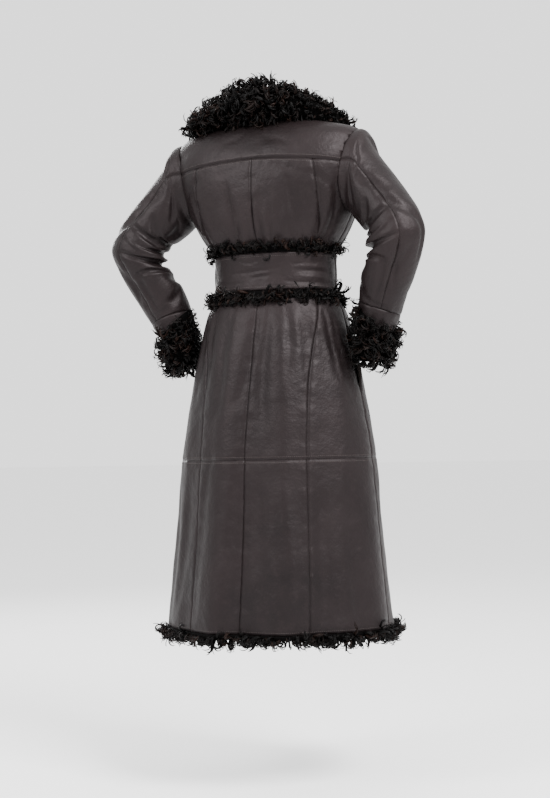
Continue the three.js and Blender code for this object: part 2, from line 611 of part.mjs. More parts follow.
// Curly edging of the hem: a roll just under the leather edge, proud of it on both sides.
function hemFur() {
  const { drop, out, inward } = HEM_FUR;
  const low = -COAT_LENGTH - 0.8;
  const outline = [
    [out * 0.35, 0],
    [out, -drop * 0.25],
    [out * 0.7, -drop * 0.8],
    [-WALL / 2, -drop],
    [-inward * 0.8, -drop * 0.8],
    [-inward, -drop * 0.2],
    [-WALL - 2, 0],
  ];
  return ringLoft(
    steps(46)
      .slice(0, -1)
      .map((u) =>
        outline.map(([off, dz]) => {
          const p = bodyPoint(360 * u, -COAT_LENGTH, off);
          return new THREE.Vector3(p.x, p.y, low + dz);
        }),
      ),
  );
}
addPiece("hem_fur", hemFur(), FUR);

// The same edging down the edge of the overlapping front, from the belt's fur to the hem.
const FRONT_FUR = { wide: 22, thick: 13 };
function frontFur() {
  return loft(
    steps(20).map((v) => {
      const h = lerp(-COAT_LENGTH + 3, -465 - 3, v);
      const middle = -frontEdge(h);
      const half = degreesFor(FRONT_FUR.wide / 2, middle, h);
      return [
        bodyPoint(middle - half, h, 0.7),
        bodyPoint(middle - half * 0.9, h, FRONT_FUR.thick * 0.7),
        bodyPoint(middle, h, FRONT_FUR.thick),
        bodyPoint(middle + half * 0.9, h, FRONT_FUR.thick * 0.7),
        bodyPoint(middle + half, h, 0.7),
        bodyPoint(middle, h, 0.7),
      ];
    }),
  );
}
addPiece("front_fur", frontFur(), FUR);

function meshOf(name, { solid, material }) {
  const { vertProperties, triVerts } = solid.getMesh();
  const geometry = new THREE.BufferGeometry()
    .setAttribute("position", new THREE.BufferAttribute(vertProperties, 3))
    .setIndex(new THREE.BufferAttribute(triVerts, 1));
  geometry.computeVertexNormals();
  const mesh = new THREE.Mesh(geometry, new THREE.MeshStandardMaterial(material));
  mesh.name = name;
  return mesh;
}

const coat = new THREE.Group();
for (const [name, piece] of pieces) coat.add(meshOf(name, piece));

export default coat;
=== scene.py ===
# Long belted shearling coat in its worn pose: leather panels, curly fur trims, stitching, studio and camera.
# Sizes are millimetres until a mesh is made; +Z is up, -Y the coat's front and +X the wearer's left.
import json
import math

import bpy
import numpy as np
from mathutils import Matrix, Vector

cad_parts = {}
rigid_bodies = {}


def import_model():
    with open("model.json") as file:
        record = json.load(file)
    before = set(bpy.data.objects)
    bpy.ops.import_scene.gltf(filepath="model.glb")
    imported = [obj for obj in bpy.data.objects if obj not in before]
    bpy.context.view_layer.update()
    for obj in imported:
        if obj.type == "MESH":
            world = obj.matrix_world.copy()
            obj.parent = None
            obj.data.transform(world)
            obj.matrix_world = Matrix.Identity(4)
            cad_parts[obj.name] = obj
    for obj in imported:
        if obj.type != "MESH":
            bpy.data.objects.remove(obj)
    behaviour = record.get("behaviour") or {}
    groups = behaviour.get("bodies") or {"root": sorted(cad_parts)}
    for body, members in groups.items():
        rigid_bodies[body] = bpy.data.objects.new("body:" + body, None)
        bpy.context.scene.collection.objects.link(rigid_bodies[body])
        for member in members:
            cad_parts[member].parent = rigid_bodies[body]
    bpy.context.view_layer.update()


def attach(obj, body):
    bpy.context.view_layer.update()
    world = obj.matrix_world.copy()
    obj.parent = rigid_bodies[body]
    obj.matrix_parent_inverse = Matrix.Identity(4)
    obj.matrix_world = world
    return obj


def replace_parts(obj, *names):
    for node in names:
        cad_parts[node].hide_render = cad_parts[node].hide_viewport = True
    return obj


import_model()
print("frame loaded")

coat = {
    "length": 1215,
    "wall": 4,
    "seamGap": 0.08,
    "sideSeam": 88,
    "yokeSeam": -108,
    "yokeSag": 31,
    "waistSeam": -374,
    "skirtSeam": -817,
    "wrapLayer": 5.6,
}
belt = {"top": -330, "bottom": -418, "gap": 0.7, "thick": 4, "endFrom": 176, "endTo": 212}
pocket = {"top": -500, "bottom": -664, "gape": 24, "lift": 9, "deep": 11}

# Rings of the body: height, half width, depth behind and in front, squareness, forward shift, lift at the
# shoulders, angles of the centre and princess seams, and the front edge past centre front.
bodyColumns = ("h", "half", "back", "front", "square", "shift", "lift", "centre", "princess", "edge")
bodyRings = [
    (-1215, 272, 245, 226, 2.1, 0, 0, 3, 37, 20),
    (-1100, 262, 231, 213, 2.1, 0, 0, 3, 38, 20),
    (-960, 250, 212, 198, 2.1, 0, 0, 3, 39, 20),
    (-817, 239, 196, 184, 2.1, 0, 0, 3, 40, 20),
    (-664, 216, 174, 166, 2.1, 0, 0, 1.5, 44, 20),
    (-540, 190, 153, 149, 2.1, 0, 0, 0, 53, 20),
    (-470, 173, 135, 133, 2.1, 0, 0, -1.5, 60, 20),
    (-424, 151, 114, 113, 2.1, 0, 0, -2, 63, 20),
    (-374, 145, 108, 107, 2.1, 0, 0, -1.5, 63, 20),
    (-326, 149, 112, 111, 2.1, 0, 0, -1, 63, 6),
    (-296, 172, 126, 122, 2.2, 2, 0, -1, 62, 0),
    (-250, 198, 137, 129, 2.3, 4, 0, 0, 59, -9),
    (-200, 216, 138, 131, 2.4, 6, 0, 0, 56, -20),
    (-150, 229, 135, 127, 2.6, 8, 0, 0, 54, -32),
    (-120, 237, 131, 120, 2.6, 8, 2, 0, 53, -40),
    (-92, 242, 123, 110, 2.5, 8, 8, 0, 52, -48),
    (-70, 238, 113, 99, 2.4, 7, 14, 0, 50, -55),
    (-50, 222, 102, 88, 2.3, 6, 13, 0, 48, -62),
    (-34, 188, 92, 78, 2.2, 5, 9, 0, 46, -68),
    (-18, 138, 80, 70, 2.1, 3, 4, 0, 44, -74),
    (0, 84, 64, 62, 2, 0, 0, 0, 42, -80),
]

# Soft folds of the body: angle, drift over its height, the heights it spans, depth at its two ends and
# half width.
bodyFolds = [
    (-4, 6, -430, -1215, -3, -11, 15),
    (21, -3, -440, -1215, 3, 9, 14),
    (-27, 4, -432, -1215, 5, 8, 13),
    (50, -8, -450, -1215, -3, -9, 14),
    (-58, 12, -450, -1215, -4, -9, 14),
    (76, -4, -700, -1215, 1, 9, 14),
    (-80, 2, -700, -1215, 1, 10, 14),
    (112, 0, -520, -1215, -2, -10, 15),
    (-112, 0, -520, -1215, -2, -10, 15),
    (138, 2, -450, -1215, 3, 9, 14),
    (-140, -2, -450, -1215, 3, 8, 14),
    (8, -3, -175, -318, 0, -7, 8),
    (-12, 5, -165, -318, 0, -6, 7),
    (-29, 4, -190, -318, 0, -7, 8),
    (28, -5, -170, -318, 0, -8, 9),
    (46, -8, -200, -318, 0, -6, 8),
    (-49, 6, -200, -318, 0, -7, 8),
    (72, -6, -225, -318, 0, -8, 9),
    (-72, 6, -225, -318, 0, -8, 9),
    (112, 3, -190, -318, 0, -7, 9),
    (-112, -3, -190, -318, 0, -7, 9),
    (140, 3, -230, -318, 0, -6, 9),
    (-140, -3, -230, -318, 0, -6, 9),
]

# Rings of the left sleeve: outer line, inner line, centre and half depth from back to front.
sleeveColumns = ("ring", "outX", "outZ", "inX", "inZ", "y", "deep")
sleeveRings = [
    (0, 186, -52, 150, -222, 14, 70),
    (1, 240, -44, 205, -236, 18, 76),
    (2, 258, -60, 215, -250, 22, 78),
    (3, 276, -100, 226, -262, 29, 76),
    (4, 320, -157, 240, -276, 41, 71),
    (5, 358, -206, 254, -290, 55, 67),
    (6, 388, -254, 264, -306, 67, 64),
    (7, 402, -298, 266, -326, 72, 62),
    (8, 389, -348, 260, -348, 64, 60),
    (9, 365, -400, 246, -370, 49, 58),
    (10, 339, -448, 231, -413, 34, 56),
    (11, 313, -500, 221, -466, 18, 54),
    (12, 288, -543, 215, -524, 7, 51),
    (13, 273, -580, 213, -572, 1, 49),
]
# Folds of the sleeve: ring, angle round the arm, half spread, half width in rings and depth.
sleeveFolds = [
    (5.2, 168, 80, 0.5, -9),
    (6.3, 180, 86, 0.42, -12),
    (7.5, 176, 84, 0.5, -13),
    (8.9, 190, 70, 0.55, -8),
    (6.9, 176, 70, 0.35, 5),
    (2.6, 20, 60, 0.6, -4),
]
sleeve = {"backSeam": 66, "frontSeam": 246, "cuffSeam": 10.7, "end": 13, "furThick": 15, "furBody": 4}

# The collar from centre back to the end of the lapel: inner and outer edge on the body, and the fur's height
# over the inner edge, its crest and its rim.
collarColumns = ("station", "inAngle", "inH", "outAngle", "outH", "neck", "crest", "rim")
collarStations = [
    (0, 0, -2, 0, -20, 62, 94, 52),
    (1, 30, -2, 30, -22, 62, 93, 50),
    (2, 60, -2, 57, -33, 60, 82, 38),
    (3, 82, -2, 78, -46, 56, 66, 24),
    (4, 98, -3, 95, -47, 52, 62, 24),
    (5, 107, -18, 108, -64, 44, 58, 26),
    (6, 120, -54, 113, -104, 34, 48, 24),
    (7, 138, -112, 120, -160, 28, 42, 22),
    (8, 156, -180, 134, -222, 24, 38, 20),
    (9, 170, -246, 152, -274, 20, 32, 18),
    (10, 177, -288, 168, -294, 15, 20, 14),
]


def smoothCurve(rows, columns, name):
    # A curve without overshoot through one column of a table.
    xs = np.array([row[0] for row in rows], float)
    ys = np.array([row[columns.index(name)] for row in rows], float)
    slopes = np.diff(ys) / np.diff(xs)
    before = np.concatenate([slopes[:1], slopes])
    after = np.concatenate([slopes, slopes[-1:]])
    same = before * after > 0
    tangents = np.where(same, 2 * before * after / np.where(same, before + after, 1), 0)

    def read(x):
        x = np.asarray(x, float)
        i = np.clip(np.searchsorted(xs, x) - 1, 0, len(xs) - 2)
        width = xs[i + 1] - xs[i]
        t = (x - xs[i]) / width
        inside = np.clip(t, 0, 1)
        t2, t3 = inside**2, inside**3
        value = ys[i] * (2 * t3 - 3 * t2 + 1) + ys[i + 1] * (3 * t2 - 2 * t3)
        value = value + width * (tangents[i] * (t3 - 2 * t2 + inside) + tangents[i + 1] * (t3 - t2))
        beyond = (t - inside) * width
        return value + np.where(t < 0, tangents[i], tangents[i + 1]) * beyond

    return read


body = {name: smoothCurve(bodyRings, bodyColumns, name) for name in bodyColumns[1:]}
arm = {name: smoothCurve(sleeveRings, sleeveColumns, name) for name in sleeveColumns[1:]}
collar = {name: smoothCurve(collarStations, collarColumns, name) for name in collarColumns[1:]}


def softBump(x):
    return np.where(np.abs(x) < 1, np.cos(np.clip(x, -1, 1) * math.pi / 2) ** 2, 0)


def smoothStep(x, start, end):
    t = np.clip((x - start) / (end - start), 0, 1)
    return t * t * (3 - 2 * t)


def turned(angle):
    return (np.asarray(angle) + 180) % 360 - 180


def mix(a, b, t):
    return a + (b - a) * t


def foldDepth(angle, h):
    total = np.zeros(np.broadcast(angle, h).shape)
    for at, drift, top, bottom, above, below, spread in bodyFolds:
        share = (top - h) / (top - bottom)
        ends = smoothStep(share, 0, 0.2) * (1 - smoothStep(share, 1, 1.08))
        depth = mix(above, below, np.clip(share, 0, 1))
        total += depth * ends * softBump(turned(angle - at - drift * share) / spread)
    return total


def bodySurface(angle, h):
    # Angle 0 is centre back and +90 the wearer's left side.
    angle, h = np.broadcast_arrays(np.asarray(angle, float), np.asarray(h, float))
    a = np.radians(angle)
    depth = np.where(np.cos(a) >= 0, body["back"](h), body["front"](h))
    n = body["square"](h)
    r = (np.abs(np.sin(a) / body["half"](h)) ** n + np.abs(np.cos(a) / depth) ** n) ** (-1 / n)
    out = r + foldDepth(angle, h)
    z = h + body["lift"](h) * np.sin(a) ** 2
    return np.stack([out * np.sin(a), body["shift"](h) + out * np.cos(a), z], -1)


def unitVectors(v):
    return v / np.maximum(np.linalg.norm(v, axis=-1, keepdims=True), 1e-9)


def bodyNormal(angle, h):
    around = unitVectors(bodySurface(angle + 1, h) - bodySurface(angle - 1, h))
    up = unitVectors(bodySurface(angle, h + 2) - bodySurface(angle, h - 2))
    return unitVectors(np.cross(up, around))


def bodyPoint(angle, h, out):
    return bodySurface(angle, h) + bodyNormal(angle, h) * np.asarray(out, float)[..., None]


def bodyRadius(angle, h):
    p = bodySurface(angle, h)
    return np.hypot(p[..., 0], p[..., 1])


def degreesFor(size, angle, h):
    return np.degrees(size / bodyRadius(angle, h))


def sleeveSurface(around, ring):
    around, ring = np.broadcast_arrays(np.asarray(around, float), np.asarray(ring, float))
    outer = np.stack([arm["outX"](ring), arm["y"](ring), arm["outZ"](ring)], -1)
    inner = np.stack([arm["inX"](ring), arm["y"](ring), arm["inZ"](ring)], -1)
    wide = (outer - inner) / 2
    relief = np.zeros(around.shape)
    for at, angle, spread, width, depth in sleeveFolds:
        relief += depth * softBump((ring - at) / width) * softBump(turned(around - angle) / spread)
    grow = 1 + relief / np.linalg.norm(wide, axis=-1)
    a = np.radians(around)
    point = (outer + inner) / 2 + wide * (np.cos(a) * grow)[..., None]
    point[..., 1] += arm["deep"](ring) * np.sin(a) * grow
    return point


def sleeveNormal(around, ring):
    along = unitVectors(sleeveSurface(around, ring + 0.05) - sleeveSurface(around, ring - 0.05))
    across = unitVectors(sleeveSurface(around + 2, ring) - sleeveSurface(around - 2, ring))
    return unitVectors(np.cross(along, across))


def sleevePoint(around, ring, out):
    return sleeveSurface(around, ring) + sleeveNormal(around, ring) * np.asarray(out, float)[..., None]


print("tables read")


# Materials, built with shader sockets in plain arithmetic.
class Value:
    # A shader socket that can be used in plain arithmetic.
    def __init__(self, tree, socket):
        self.tree = tree
        self.socket = socket

    def join(self, operation, other):
        node = self.tree.nodes.new("ShaderNodeMath")
        node.operation = operation
        self.tree.links.new(self.socket, node.inputs[0])
        if isinstance(other, Value):
            self.tree.links.new(other.socket, node.inputs[1])
        else:
            node.inputs[1].default_value = other
        return Value(self.tree, node.outputs[0])

    def __add__(self, other):
        return self.join("ADD", other)

    def __mul__(self, other):
        return self.join("MULTIPLY", other)

    def __pow__(self, other):
        return self.join("POWER", other)


class Finish:
    # A material under construction.
    def __init__(self, name):
        self.material = bpy.data.materials.new(name)
        self.material.use_nodes = True
        self.tree = self.material.node_tree
        self.shader = self.tree.nodes["Principled BSDF"]

    def node(self, kind, settings=None, inputs=None, output=0):
        made = self.tree.nodes.new(kind)
        for key, value in (settings or {}).items():
            setattr(made, key, value)
        for key, value in (inputs or {}).items():
            self.plug(made.inputs[key], value)
        return Value(self.tree, made.outputs[output])

    def plug(self, place, value):
        if isinstance(value, Value):
            self.tree.links.new(value.socket, place)
        else:
            place.default_value = value

    def where(self):
        return self.node("ShaderNodeTexCoord", output="Object")

    def noise(self, where, scale, detail, rough):
        inputs = {"Vector": where, "Scale": scale, "Detail": detail, "Roughness": rough}
        return self.node("ShaderNodeTexNoise", {}, inputs)

    def cells(self, where, scale):
        inputs = {"Vector": where, "Scale": scale, "Randomness": 1.0}
        return self.node("ShaderNodeTexVoronoi", {"feature": "SMOOTH_F1"}, inputs, output="Distance")

    def blend(self, share, low, high):
        # By index, since the mix node has several sockets of each name; 0, 6 and 7 are factor and colours.
        return self.node("ShaderNodeMix", {"data_type": "RGBA"}, {0: share, 6: low, 7: high}, output=2)

    def spread(self, value, low, high):
        settings = {"clamp": True}
        return self.node("ShaderNodeMapRange", settings, {"Value": value, "From Min": low, "From Max": high})

    def bump(self, height, strength, distance, below=None):
        inputs = {"Height": height, "Strength": strength, "Distance": distance}
        if below:
            inputs["Normal"] = below
        return self.node("ShaderNodeBump", {}, inputs)

    def finish(self, **sockets):
        for key, value in sockets.items():
            self.plug(self.shader.inputs[key.replace("_", " ")], value)
        return self.material


# Noise is given by scale, detail and roughness; relief by strength and height in metres.
leatherLook = {
    "light": (0.0082, 0.0054, 0.0056, 1),
    "dark": (0.0034, 0.0022, 0.0023, 1),
    "worn": (0.0140, 0.0096, 0.0096, 1),
    "wornShare": 0.35,
    "roughness": (0.42, 0.56),
    "specular": 0.155,
    "tint": (1.0, 0.91, 0.93, 1),
    "cloud": (5, 4, 0.6),
    "speckle": (60, 4, 0.6),
    "dents": (28, 4, 0.62),
    "dentRelief": (0.5, 0.006),
    "wrinkle": (120, 5, 0.65),
    "wrinkleRelief": (0.34, 0.0014),
    "grain": 900,
    "grainRelief": (0.22, 0.0003),
}


def leatherFinish():
    look = leatherLook
    made = Finish("softLeather")
    where = made.where()
    cloudy = made.noise(where, *look["cloud"])
    fine = made.noise(where, *look["speckle"])
    base = made.blend(made.spread(cloudy, 0.3, 0.7), look["dark"], look["light"])
    base = made.blend(made.spread(fine, 0.55, 0.8) * look["wornShare"], base, look["worn"])
    low, high = look["roughness"]
    rough = made.spread(cloudy * 0.6 + fine * 0.4, 0.3, 0.7) * (high - low) + low
    normal = made.bump(made.noise(where, *look["dents"]), *look["dentRelief"])
    normal = made.bump(made.noise(where, *look["wrinkle"]), *look["wrinkleRelief"], normal)
    normal = made.bump(made.cells(where, look["grain"]), *look["grainRelief"], normal)
    sheen = {"Specular_IOR_Level": look["specular"], "Specular_Tint": look["tint"]}
    return made.finish(Base_Color=base, Roughness=rough, Normal=normal, **sheen)


woolLook = {
    "light": (0.022, 0.016, 0.014, 1),
    "dark": (0.004, 0.003, 0.003, 1),
    "roughness": 0.95,
    "specular": 0.2,
    "curls": 150,
    "curlRelief": (0.9, 0.004),
    "tufts": (260, 5, 0.7),
    "tuftRelief": (0.7, 0.002),
}


def woolFinish():
    # The shorn wool side of the skins.
    look = woolLook
    made = Finish("shornWool")
    where = made.where()
    tufts = made.noise(where, *look["tufts"])
    base = made.blend(made.spread(tufts, 0.35, 0.7), look["dark"], look["light"])
    normal = made.bump(made.cells(where, look["curls"]), *look["curlRelief"])
    normal = made.bump(tufts, *look["tuftRelief"], normal)
    return made.finish(
        Base_Color=base, Roughness=look["roughness"], Normal=normal, Specular_IOR_Level=look["specular"]
    )


furLook = {
    "root": (0.0006, 0.0005, 0.0005, 1),
    "dark": (0.0012, 0.0009, 0.0009, 1),
    "warm": (0.0105, 0.0048, 0.0034, 1),
    "roughness": 0.5,
    "specular": 0.085,
    "bedRoughness": 0.95,
    "bedSpecular": 0.05,
    "bedTufts": (170, 5, 0.7),
    "bedRelief": (1.0, 0.006),
}


def furFinish():
    # Each lock has a tone between 0 and 1; only the highest ones come out warm.
    look = furLook
    made = Finish("curlyFur")
    tone = made.node("ShaderNodeAttribute", {"attribute_name": "tone"}, output="Fac")
    base = made.blend(tone**5, look["dark"], look["warm"])
    return made.finish(Base_Color=base, Roughness=look["roughness"], Specular_IOR_Level=look["specular"])


def furBedFinish():
    look = furLook
    made = Finish("furBed")
    tufts = made.noise(made.where(), *look["bedTufts"])
    base = made.blend(made.spread(tufts, 0.4, 0.7), look["root"], look["dark"])
    normal = made.bump(tufts, *look["bedRelief"])
    return made.finish(
        Base_Color=base, Roughness=look["bedRoughness"], Normal=normal, Specular_IOR_Level=look["bedSpecular"]
    )


threadLook = {
    "light": (0.035, 0.022, 0.019, 1),
    "dark": (0.012, 0.007, 0.006, 1),
    "roughness": 0.6,
    "twist": (1500, 2, 0.5),
}


def threadFinish():
    look = threadLook
    made = Finish("darkThread")
    twist = made.noise(made.where(), *look["twist"])
    base = made.blend(made.spread(twist, 0.3, 0.7), look["dark"], look["light"])
    return made.finish(Base_Color=base, Roughness=look["roughness"])


leather = leatherFinish()
shornWool = woolFinish()
curlyFur = furFinish()
furBed = furBedFinish()
darkThread = threadFinish()
print("materials made")


def addObject(name, mesh):
    made = bpy.data.objects.new(name, mesh)
    bpy.context.scene.collection.objects.link(made)
    return made


def removeObject(spare):
    mesh = spare.data
    bpy.data.objects.remove(spare)
    bpy.data.meshes.remove(mesh)


# Meshes from points in millimetres.
def addMesh(name, points, faces, materials, faceMaterials=None):
    mesh = bpy.data.meshes.new(name)
    mesh.from_pydata((np.asarray(points) / 1000).tolist(), [], [tuple(f) for f in faces])
    for material in materials:
        mesh.materials.append(material)
    if faceMaterials is not None:
        mesh.polygons.foreach_set("material_index", np.asarray(faceMaterials, np.int32))
    mesh.shade_smooth()
    mesh.validate()
    mesh.update()
    return addObject(name, mesh)


def gridFaces(rows, cols, closed, start=0, flip=False):
    i = np.arange(rows - 1)[:, None]
    j = np.arange(cols if closed else cols - 1)[None, :]
    k = (j + 1) % cols
    here, ahead = i * cols, (i + 1) * cols
    quads = np.stack([here + j, here + k, ahead + k, ahead + j], -1).reshape(-1, 4) + start
    return quads[:, ::-1] if flip else quads


def edgeStrip(outer, inner, stride, flip):
    # Joins a fine outer edge to the coarser inner one behind it.
    faces = []
    for k in range(len(inner) - 1):
        run = outer[k * stride : (k + 1) * stride + 1]
        half = len(run) // 2
        for m in range(len(run) - 1):
            faces.append((run[m], run[m + 1], inner[k] if m < half else inner[k + 1]))
        faces.append((run[half], inner[k + 1], inner[k]))
    return [f[::-1] for f in faces] if flip else faces


def wallMesh(name, outer, inner, stride, closed, materials):
    # A closed skin: a fine outer grid, a plain inner one and the edges between them.
    rows, cols = outer.shape[:2]
    innerRows, innerCols = inner.shape[:2]
    start = rows * cols
    points = np.concatenate([outer.reshape(-1, 3), inner.reshape(-1, 3)])
    out = np.arange(start).reshape(rows, cols)
    back = np.arange(innerRows * innerCols).reshape(innerRows, innerCols) + start
    faces = [tuple(f) for f in gridFaces(rows, cols, closed)]
    shown = len(faces)
    faces += [tuple(f) for f in gridFaces(innerRows, innerCols, closed, start, flip=True)]
    around = (lambda line: np.append(line, line[0])) if closed else (lambda line: line)
    faces += edgeStrip(around(out[0]), around(back[0]), stride, True)
    faces += edgeStrip(around(out[-1]), around(back[-1]), stride, False)
    if not closed:
        faces += edgeStrip(out[:, 0], back[:, 0], stride, False)
        faces += edgeStrip(out[:, -1], back[:, -1], stride, True)
    slots = [0] * shown + [1] * (len(faces) - shown)
    return addMesh(name, points, faces, materials, slots)


def faceOutward(made):
    # Turns the whole closed skin over if its volume comes out negative.
    mesh = made.data
    mesh.calc_loop_triangles()
    corners = np.zeros(len(mesh.loop_triangles) * 3, np.int32)
    mesh.loop_triangles.foreach_get("vertices", corners)
    places = np.zeros(len(mesh.vertices) * 3)
    mesh.vertices.foreach_get("co", places)
    a, b, c = places.reshape(-1, 3)[corners.reshape(-1, 3)].transpose(1, 0, 2)
    if np.einsum("ij,ij->i", a, np.cross(b, c)).sum() < 0:
        mesh.flip_normals()
    return made


def lineLength(points):
    return np.linalg.norm(np.diff(points, axis=0), axis=1).sum()


def flatSize(grid, closed=False):
    # The cut of a panel in metres: its widest row, its longest column and its area.
    if closed:
        grid = np.concatenate([grid, grid[:, :1]], 1)
    width = max(lineLength(row) for row in grid) / 1000
    length = max(lineLength(grid[:, j]) for j in range(grid.shape[1])) / 1000
    across = np.diff(grid, axis=1)[:-1]
    along = np.diff(grid, axis=0)[:, :-1]
    area = np.linalg.norm(np.cross(across, along), axis=-1).sum() / 1e6
    return (width, length), min(area, width * length)


def addPiece(made, node):
    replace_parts(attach(made, "root"), node)


# Leather panels of the body.
skin = {
    "step": 6.5,  # between points of the outer grid
    "stride": 4,  # steps of the outer grid for one of the inner grid
    "edgeRound": 4.2,  # how far in from a seam the skin starts to turn under, and how deep it goes
    "edgeDrop": 1.0,
    "pucker": 0.6,
    "uneven": 0.9,
    "tuck": 0.7,  # how far the inner rims reach across a seam
    "above": 1.7,  # depth and width of the creases above the waist, then below it
    "aboveWide": 1.15,
    "below": 1.1,
    "belowWide": 1.4,
}


def ridge(x, y, line):
    # Height of one crease at points in millimetres: a bent line with a soft section and tapered ends.
    x0, y0, x1, y1, bend, width, depth = line
    dx, dy = x1 - x0, y1 - y0
    length = math.hypot(dx, dy)
    along = ((x - x0) * dx + (y - y0) * dy) / length**2
    across = ((x - x0) * dy - (y - y0) * dx) / length - bend * 4 * along * (1 - along)
    taper = np.where((along > 0) & (along < 1), np.sin(np.clip(along, 0, 1) * math.pi) ** 0.7, 0)
    return depth * taper * softBump(across / (width * (0.55 + 0.45 * taper)))


# Creases of the body: angle and height of both ends, bend, half width and depth. The back's are as seen; the
# others are like them.
backCreases = [
    (27, -150, 20, -322, 4, 9, -3.5),
    (17, -200, 12, -322, -3, 7, -3),
    (2, -180, -1, -322, 2, 7, -3),
    (-6, -230, -7, -324, 2, 6, -3),
    (-19, -215, -20, -324, -3, 7, -3.5),
    (-36, -150, -37, -322, 5, 8, -4),
    (-43, -175, -42, -322, -3, 7, -3),
    (-58, -170, -60, -318, 3, 9, -4),
    (-66, -150, -70, -300, 5, 9, -4),
    (36, -240, 33, -324, 2, 7, -3),
    (58, -160, 55, -318, -4, 10, -4),
    (66, -190, 64, -318, 3, 8, -3.5),
    (79, -170, 78, -305, 3, 9, -3.5),
    (-20, -126, -46, -150, 4, 10, -1.6),
    (-50, -150, -74, -215, 6, 12, -2.6),
    (48, -140, 70, -205, -6, 12, -2.6),
    (16, -128, 40, -142, 3, 10, -1.4),
    (-12, -60, -44, -84, 5, 14, -1.8),
    (14, -52, 40, -78, -4, 13, -1.6),
    (-55, -72, -80, -104, 5, 12, -2),
    (56, -76, 80, -108, -5, 12, -2),
    (2, -455, 12, -700, 14, 16, -4),
    (-9, -440, -4, -560, -5, 9, -3),
    (-17, -448, -12, -760, -12, 18, -5),
    (-32, -450, -28, -640, 8, 12, -3.5),
    (-44, -450, -41, -700, 9, 15, -5),
    (-52, -452, -52, -590, -6, 11, -4),
    (-64, -460, -66, -640, 6, 12, -4.5),
    (-72, -470, -78, -680, -7, 12, -4),
    (33, -455, 27, -720, 10, 16, -4),
    (24, -440, 22, -560, -5, 9, -2.6),
    (46, -452, 42, -660, -7, 13, -4),
    (61, -455, 58, -700, 9, 14, -4),
    (73, -460, 72, -610, 5, 11, -3.5),
    (7, -790, 10, -1205, 16, 24, -4.5),
    (-10, -835, -14, -1205, -12, 22, -4),
    (-23, -850, -28, -1205, 12, 20, 3.5),
    (30, -830, 33, -1205, -12, 22, -4),
    (-45, -850, -42, -1205, 12, 22, -4.5),
    (52, -850, 56, -1205, 12, 22, -4.5),
    (-66, -840, -64, -1205, -10, 20, -3.5),
    (68, -860, 66, -1205, 10, 20, -3.5),
]
frontCreases = [
    (98, -210, 101, -322, 3, 8, -3.5),
    (108, -170, 110, -320, -4, 9, -4),
    (119, -230, 119, -324, 3, 7, -3),
    (130, -240, 131, -324, -3, 8, -3.5),
    (142, -265, 145, -324, 3, 8, -3),
    (155, -280, 156, -324, 2, 7, -2.6),
    (96, -130, 118, -175, 5, 11, -2.4),
    (99, -460, 103, -640, 6, 12, -4),
    (110, -450, 108, -700, -8, 13, -4),
    (122, -445, 124, -610, 6, 12, -3.5),
    (134, -450, 131, -720, 10, 15, -4),
    (148, -446, 150, -620, -6, 11, -3),
    (103, -850, 100, -1205, 12, 22, -4),
    (126, -840, 128, -1205, -12, 22, -4),
    (143, -860, 140, -1205, 12, 22, 3.5),
]
mirroredFront = [(-a0, h0, -a1, h1, -bend, *size) for a0, h0, a1, h1, bend, *size in frontCreases]
bodyCreases = [*backCreases, *frontCreases, *mirroredFront]


def creaseDepth(angle, h):
    angle, h = np.broadcast_arrays(turned(angle), h)
    total = np.zeros(angle.shape)
    perDegree = math.pi / 180
    for a0, h0, a1, h1, bend, width, depth in bodyCreases:
        middle = float(bodyRadius((a0 + a1) / 2, (h0 + h1) / 2)) * perDegree
        near = turned(angle - a0) * middle
        if h0 > coat["waistSeam"]:
            width, depth = width * skin["aboveWide"], depth * skin["above"]
        else:
            width, depth = width * skin["belowWide"], depth * skin["below"]
        total += ridge(near, h, (0, h0, (a1 - a0) * middle, h1, bend, width, depth))
    return total


# Waves of the hide: how fast each runs along x, y and z, and where it starts.
unevenWaves = [(1, 0.7, 0.4, 0.3), (-0.6, 1.1, 0.9, 1.9), (0.8, -0.9, 1.4, 4.1)]


def softUneven(points, size):
    # Low waves of the hide, made of a few crossing sines.
    x, y, z = points[..., 0], points[..., 1], points[..., 2]
    total = 0
    for k, (fx, fy, fz, shift) in enumerate(unevenWaves):
        total = total + np.sin((fx * x + fy * y + fz * z) / size * (1 + 0.37 * k) + shift * 2.3)
    return skin["uneven"] * (total / 3)


def seamEffect(fromEdge, along, seed):
    # Near a seam the skin turns under, and beside it the stitching puckers it.
    fall = np.clip(1 - fromEdge / skin["edgeRound"], 0, 1)
    drop = -skin["edgeDrop"] * fall**2
    waves = np.sin(along / 7.5 + seed) + 0.7 * np.sin(along / 4.3 + 2.1 * seed)
    return drop + skin["pucker"] * waves * np.exp(-(((fromEdge - 7) / 9) ** 2))


def yokeDip(angle, h):
    near = np.where(
        h < coat["yokeSeam"],
        smoothStep(h, -260, coat["yokeSeam"]),
        1 - smoothStep(h, coat["yokeSeam"], -20),
    )
    return -coat["yokeSag"] * (turned(angle) / coat["sideSeam"]) ** 2 * near


def noDip(angle, h):
    return 0 * (angle + h)


def underWrap(angle):
    # The left front lies under the right one.
    return -coat["wrapLayer"] * smoothStep(angle, 144, 157)


def pocketGape(h):
    share = np.clip((h - pocket["bottom"]) / (pocket["top"] - pocket["bottom"]), 0, 1)
    return pocket["gape"] / 2 * np.abs(np.sin(math.pi * share**1.25)) ** 0.8


def pocketLift(angle, h):
    share = np.clip((h - pocket["bottom"]) / (pocket["top"] - pocket["bottom"]), 0, 1)
    fromSeam = np.abs(turned(angle)) - coat["sideSeam"]
    return pocket["lift"] * np.sin(math.pi * share) * softBump(fromSeam / 14)


def sideSeam(h):
    return coat["sideSeam"] + 0 * h


def pocketBack(h):
    return coat["sideSeam"] - degreesFor(pocketGape(h), coat["sideSeam"], h)


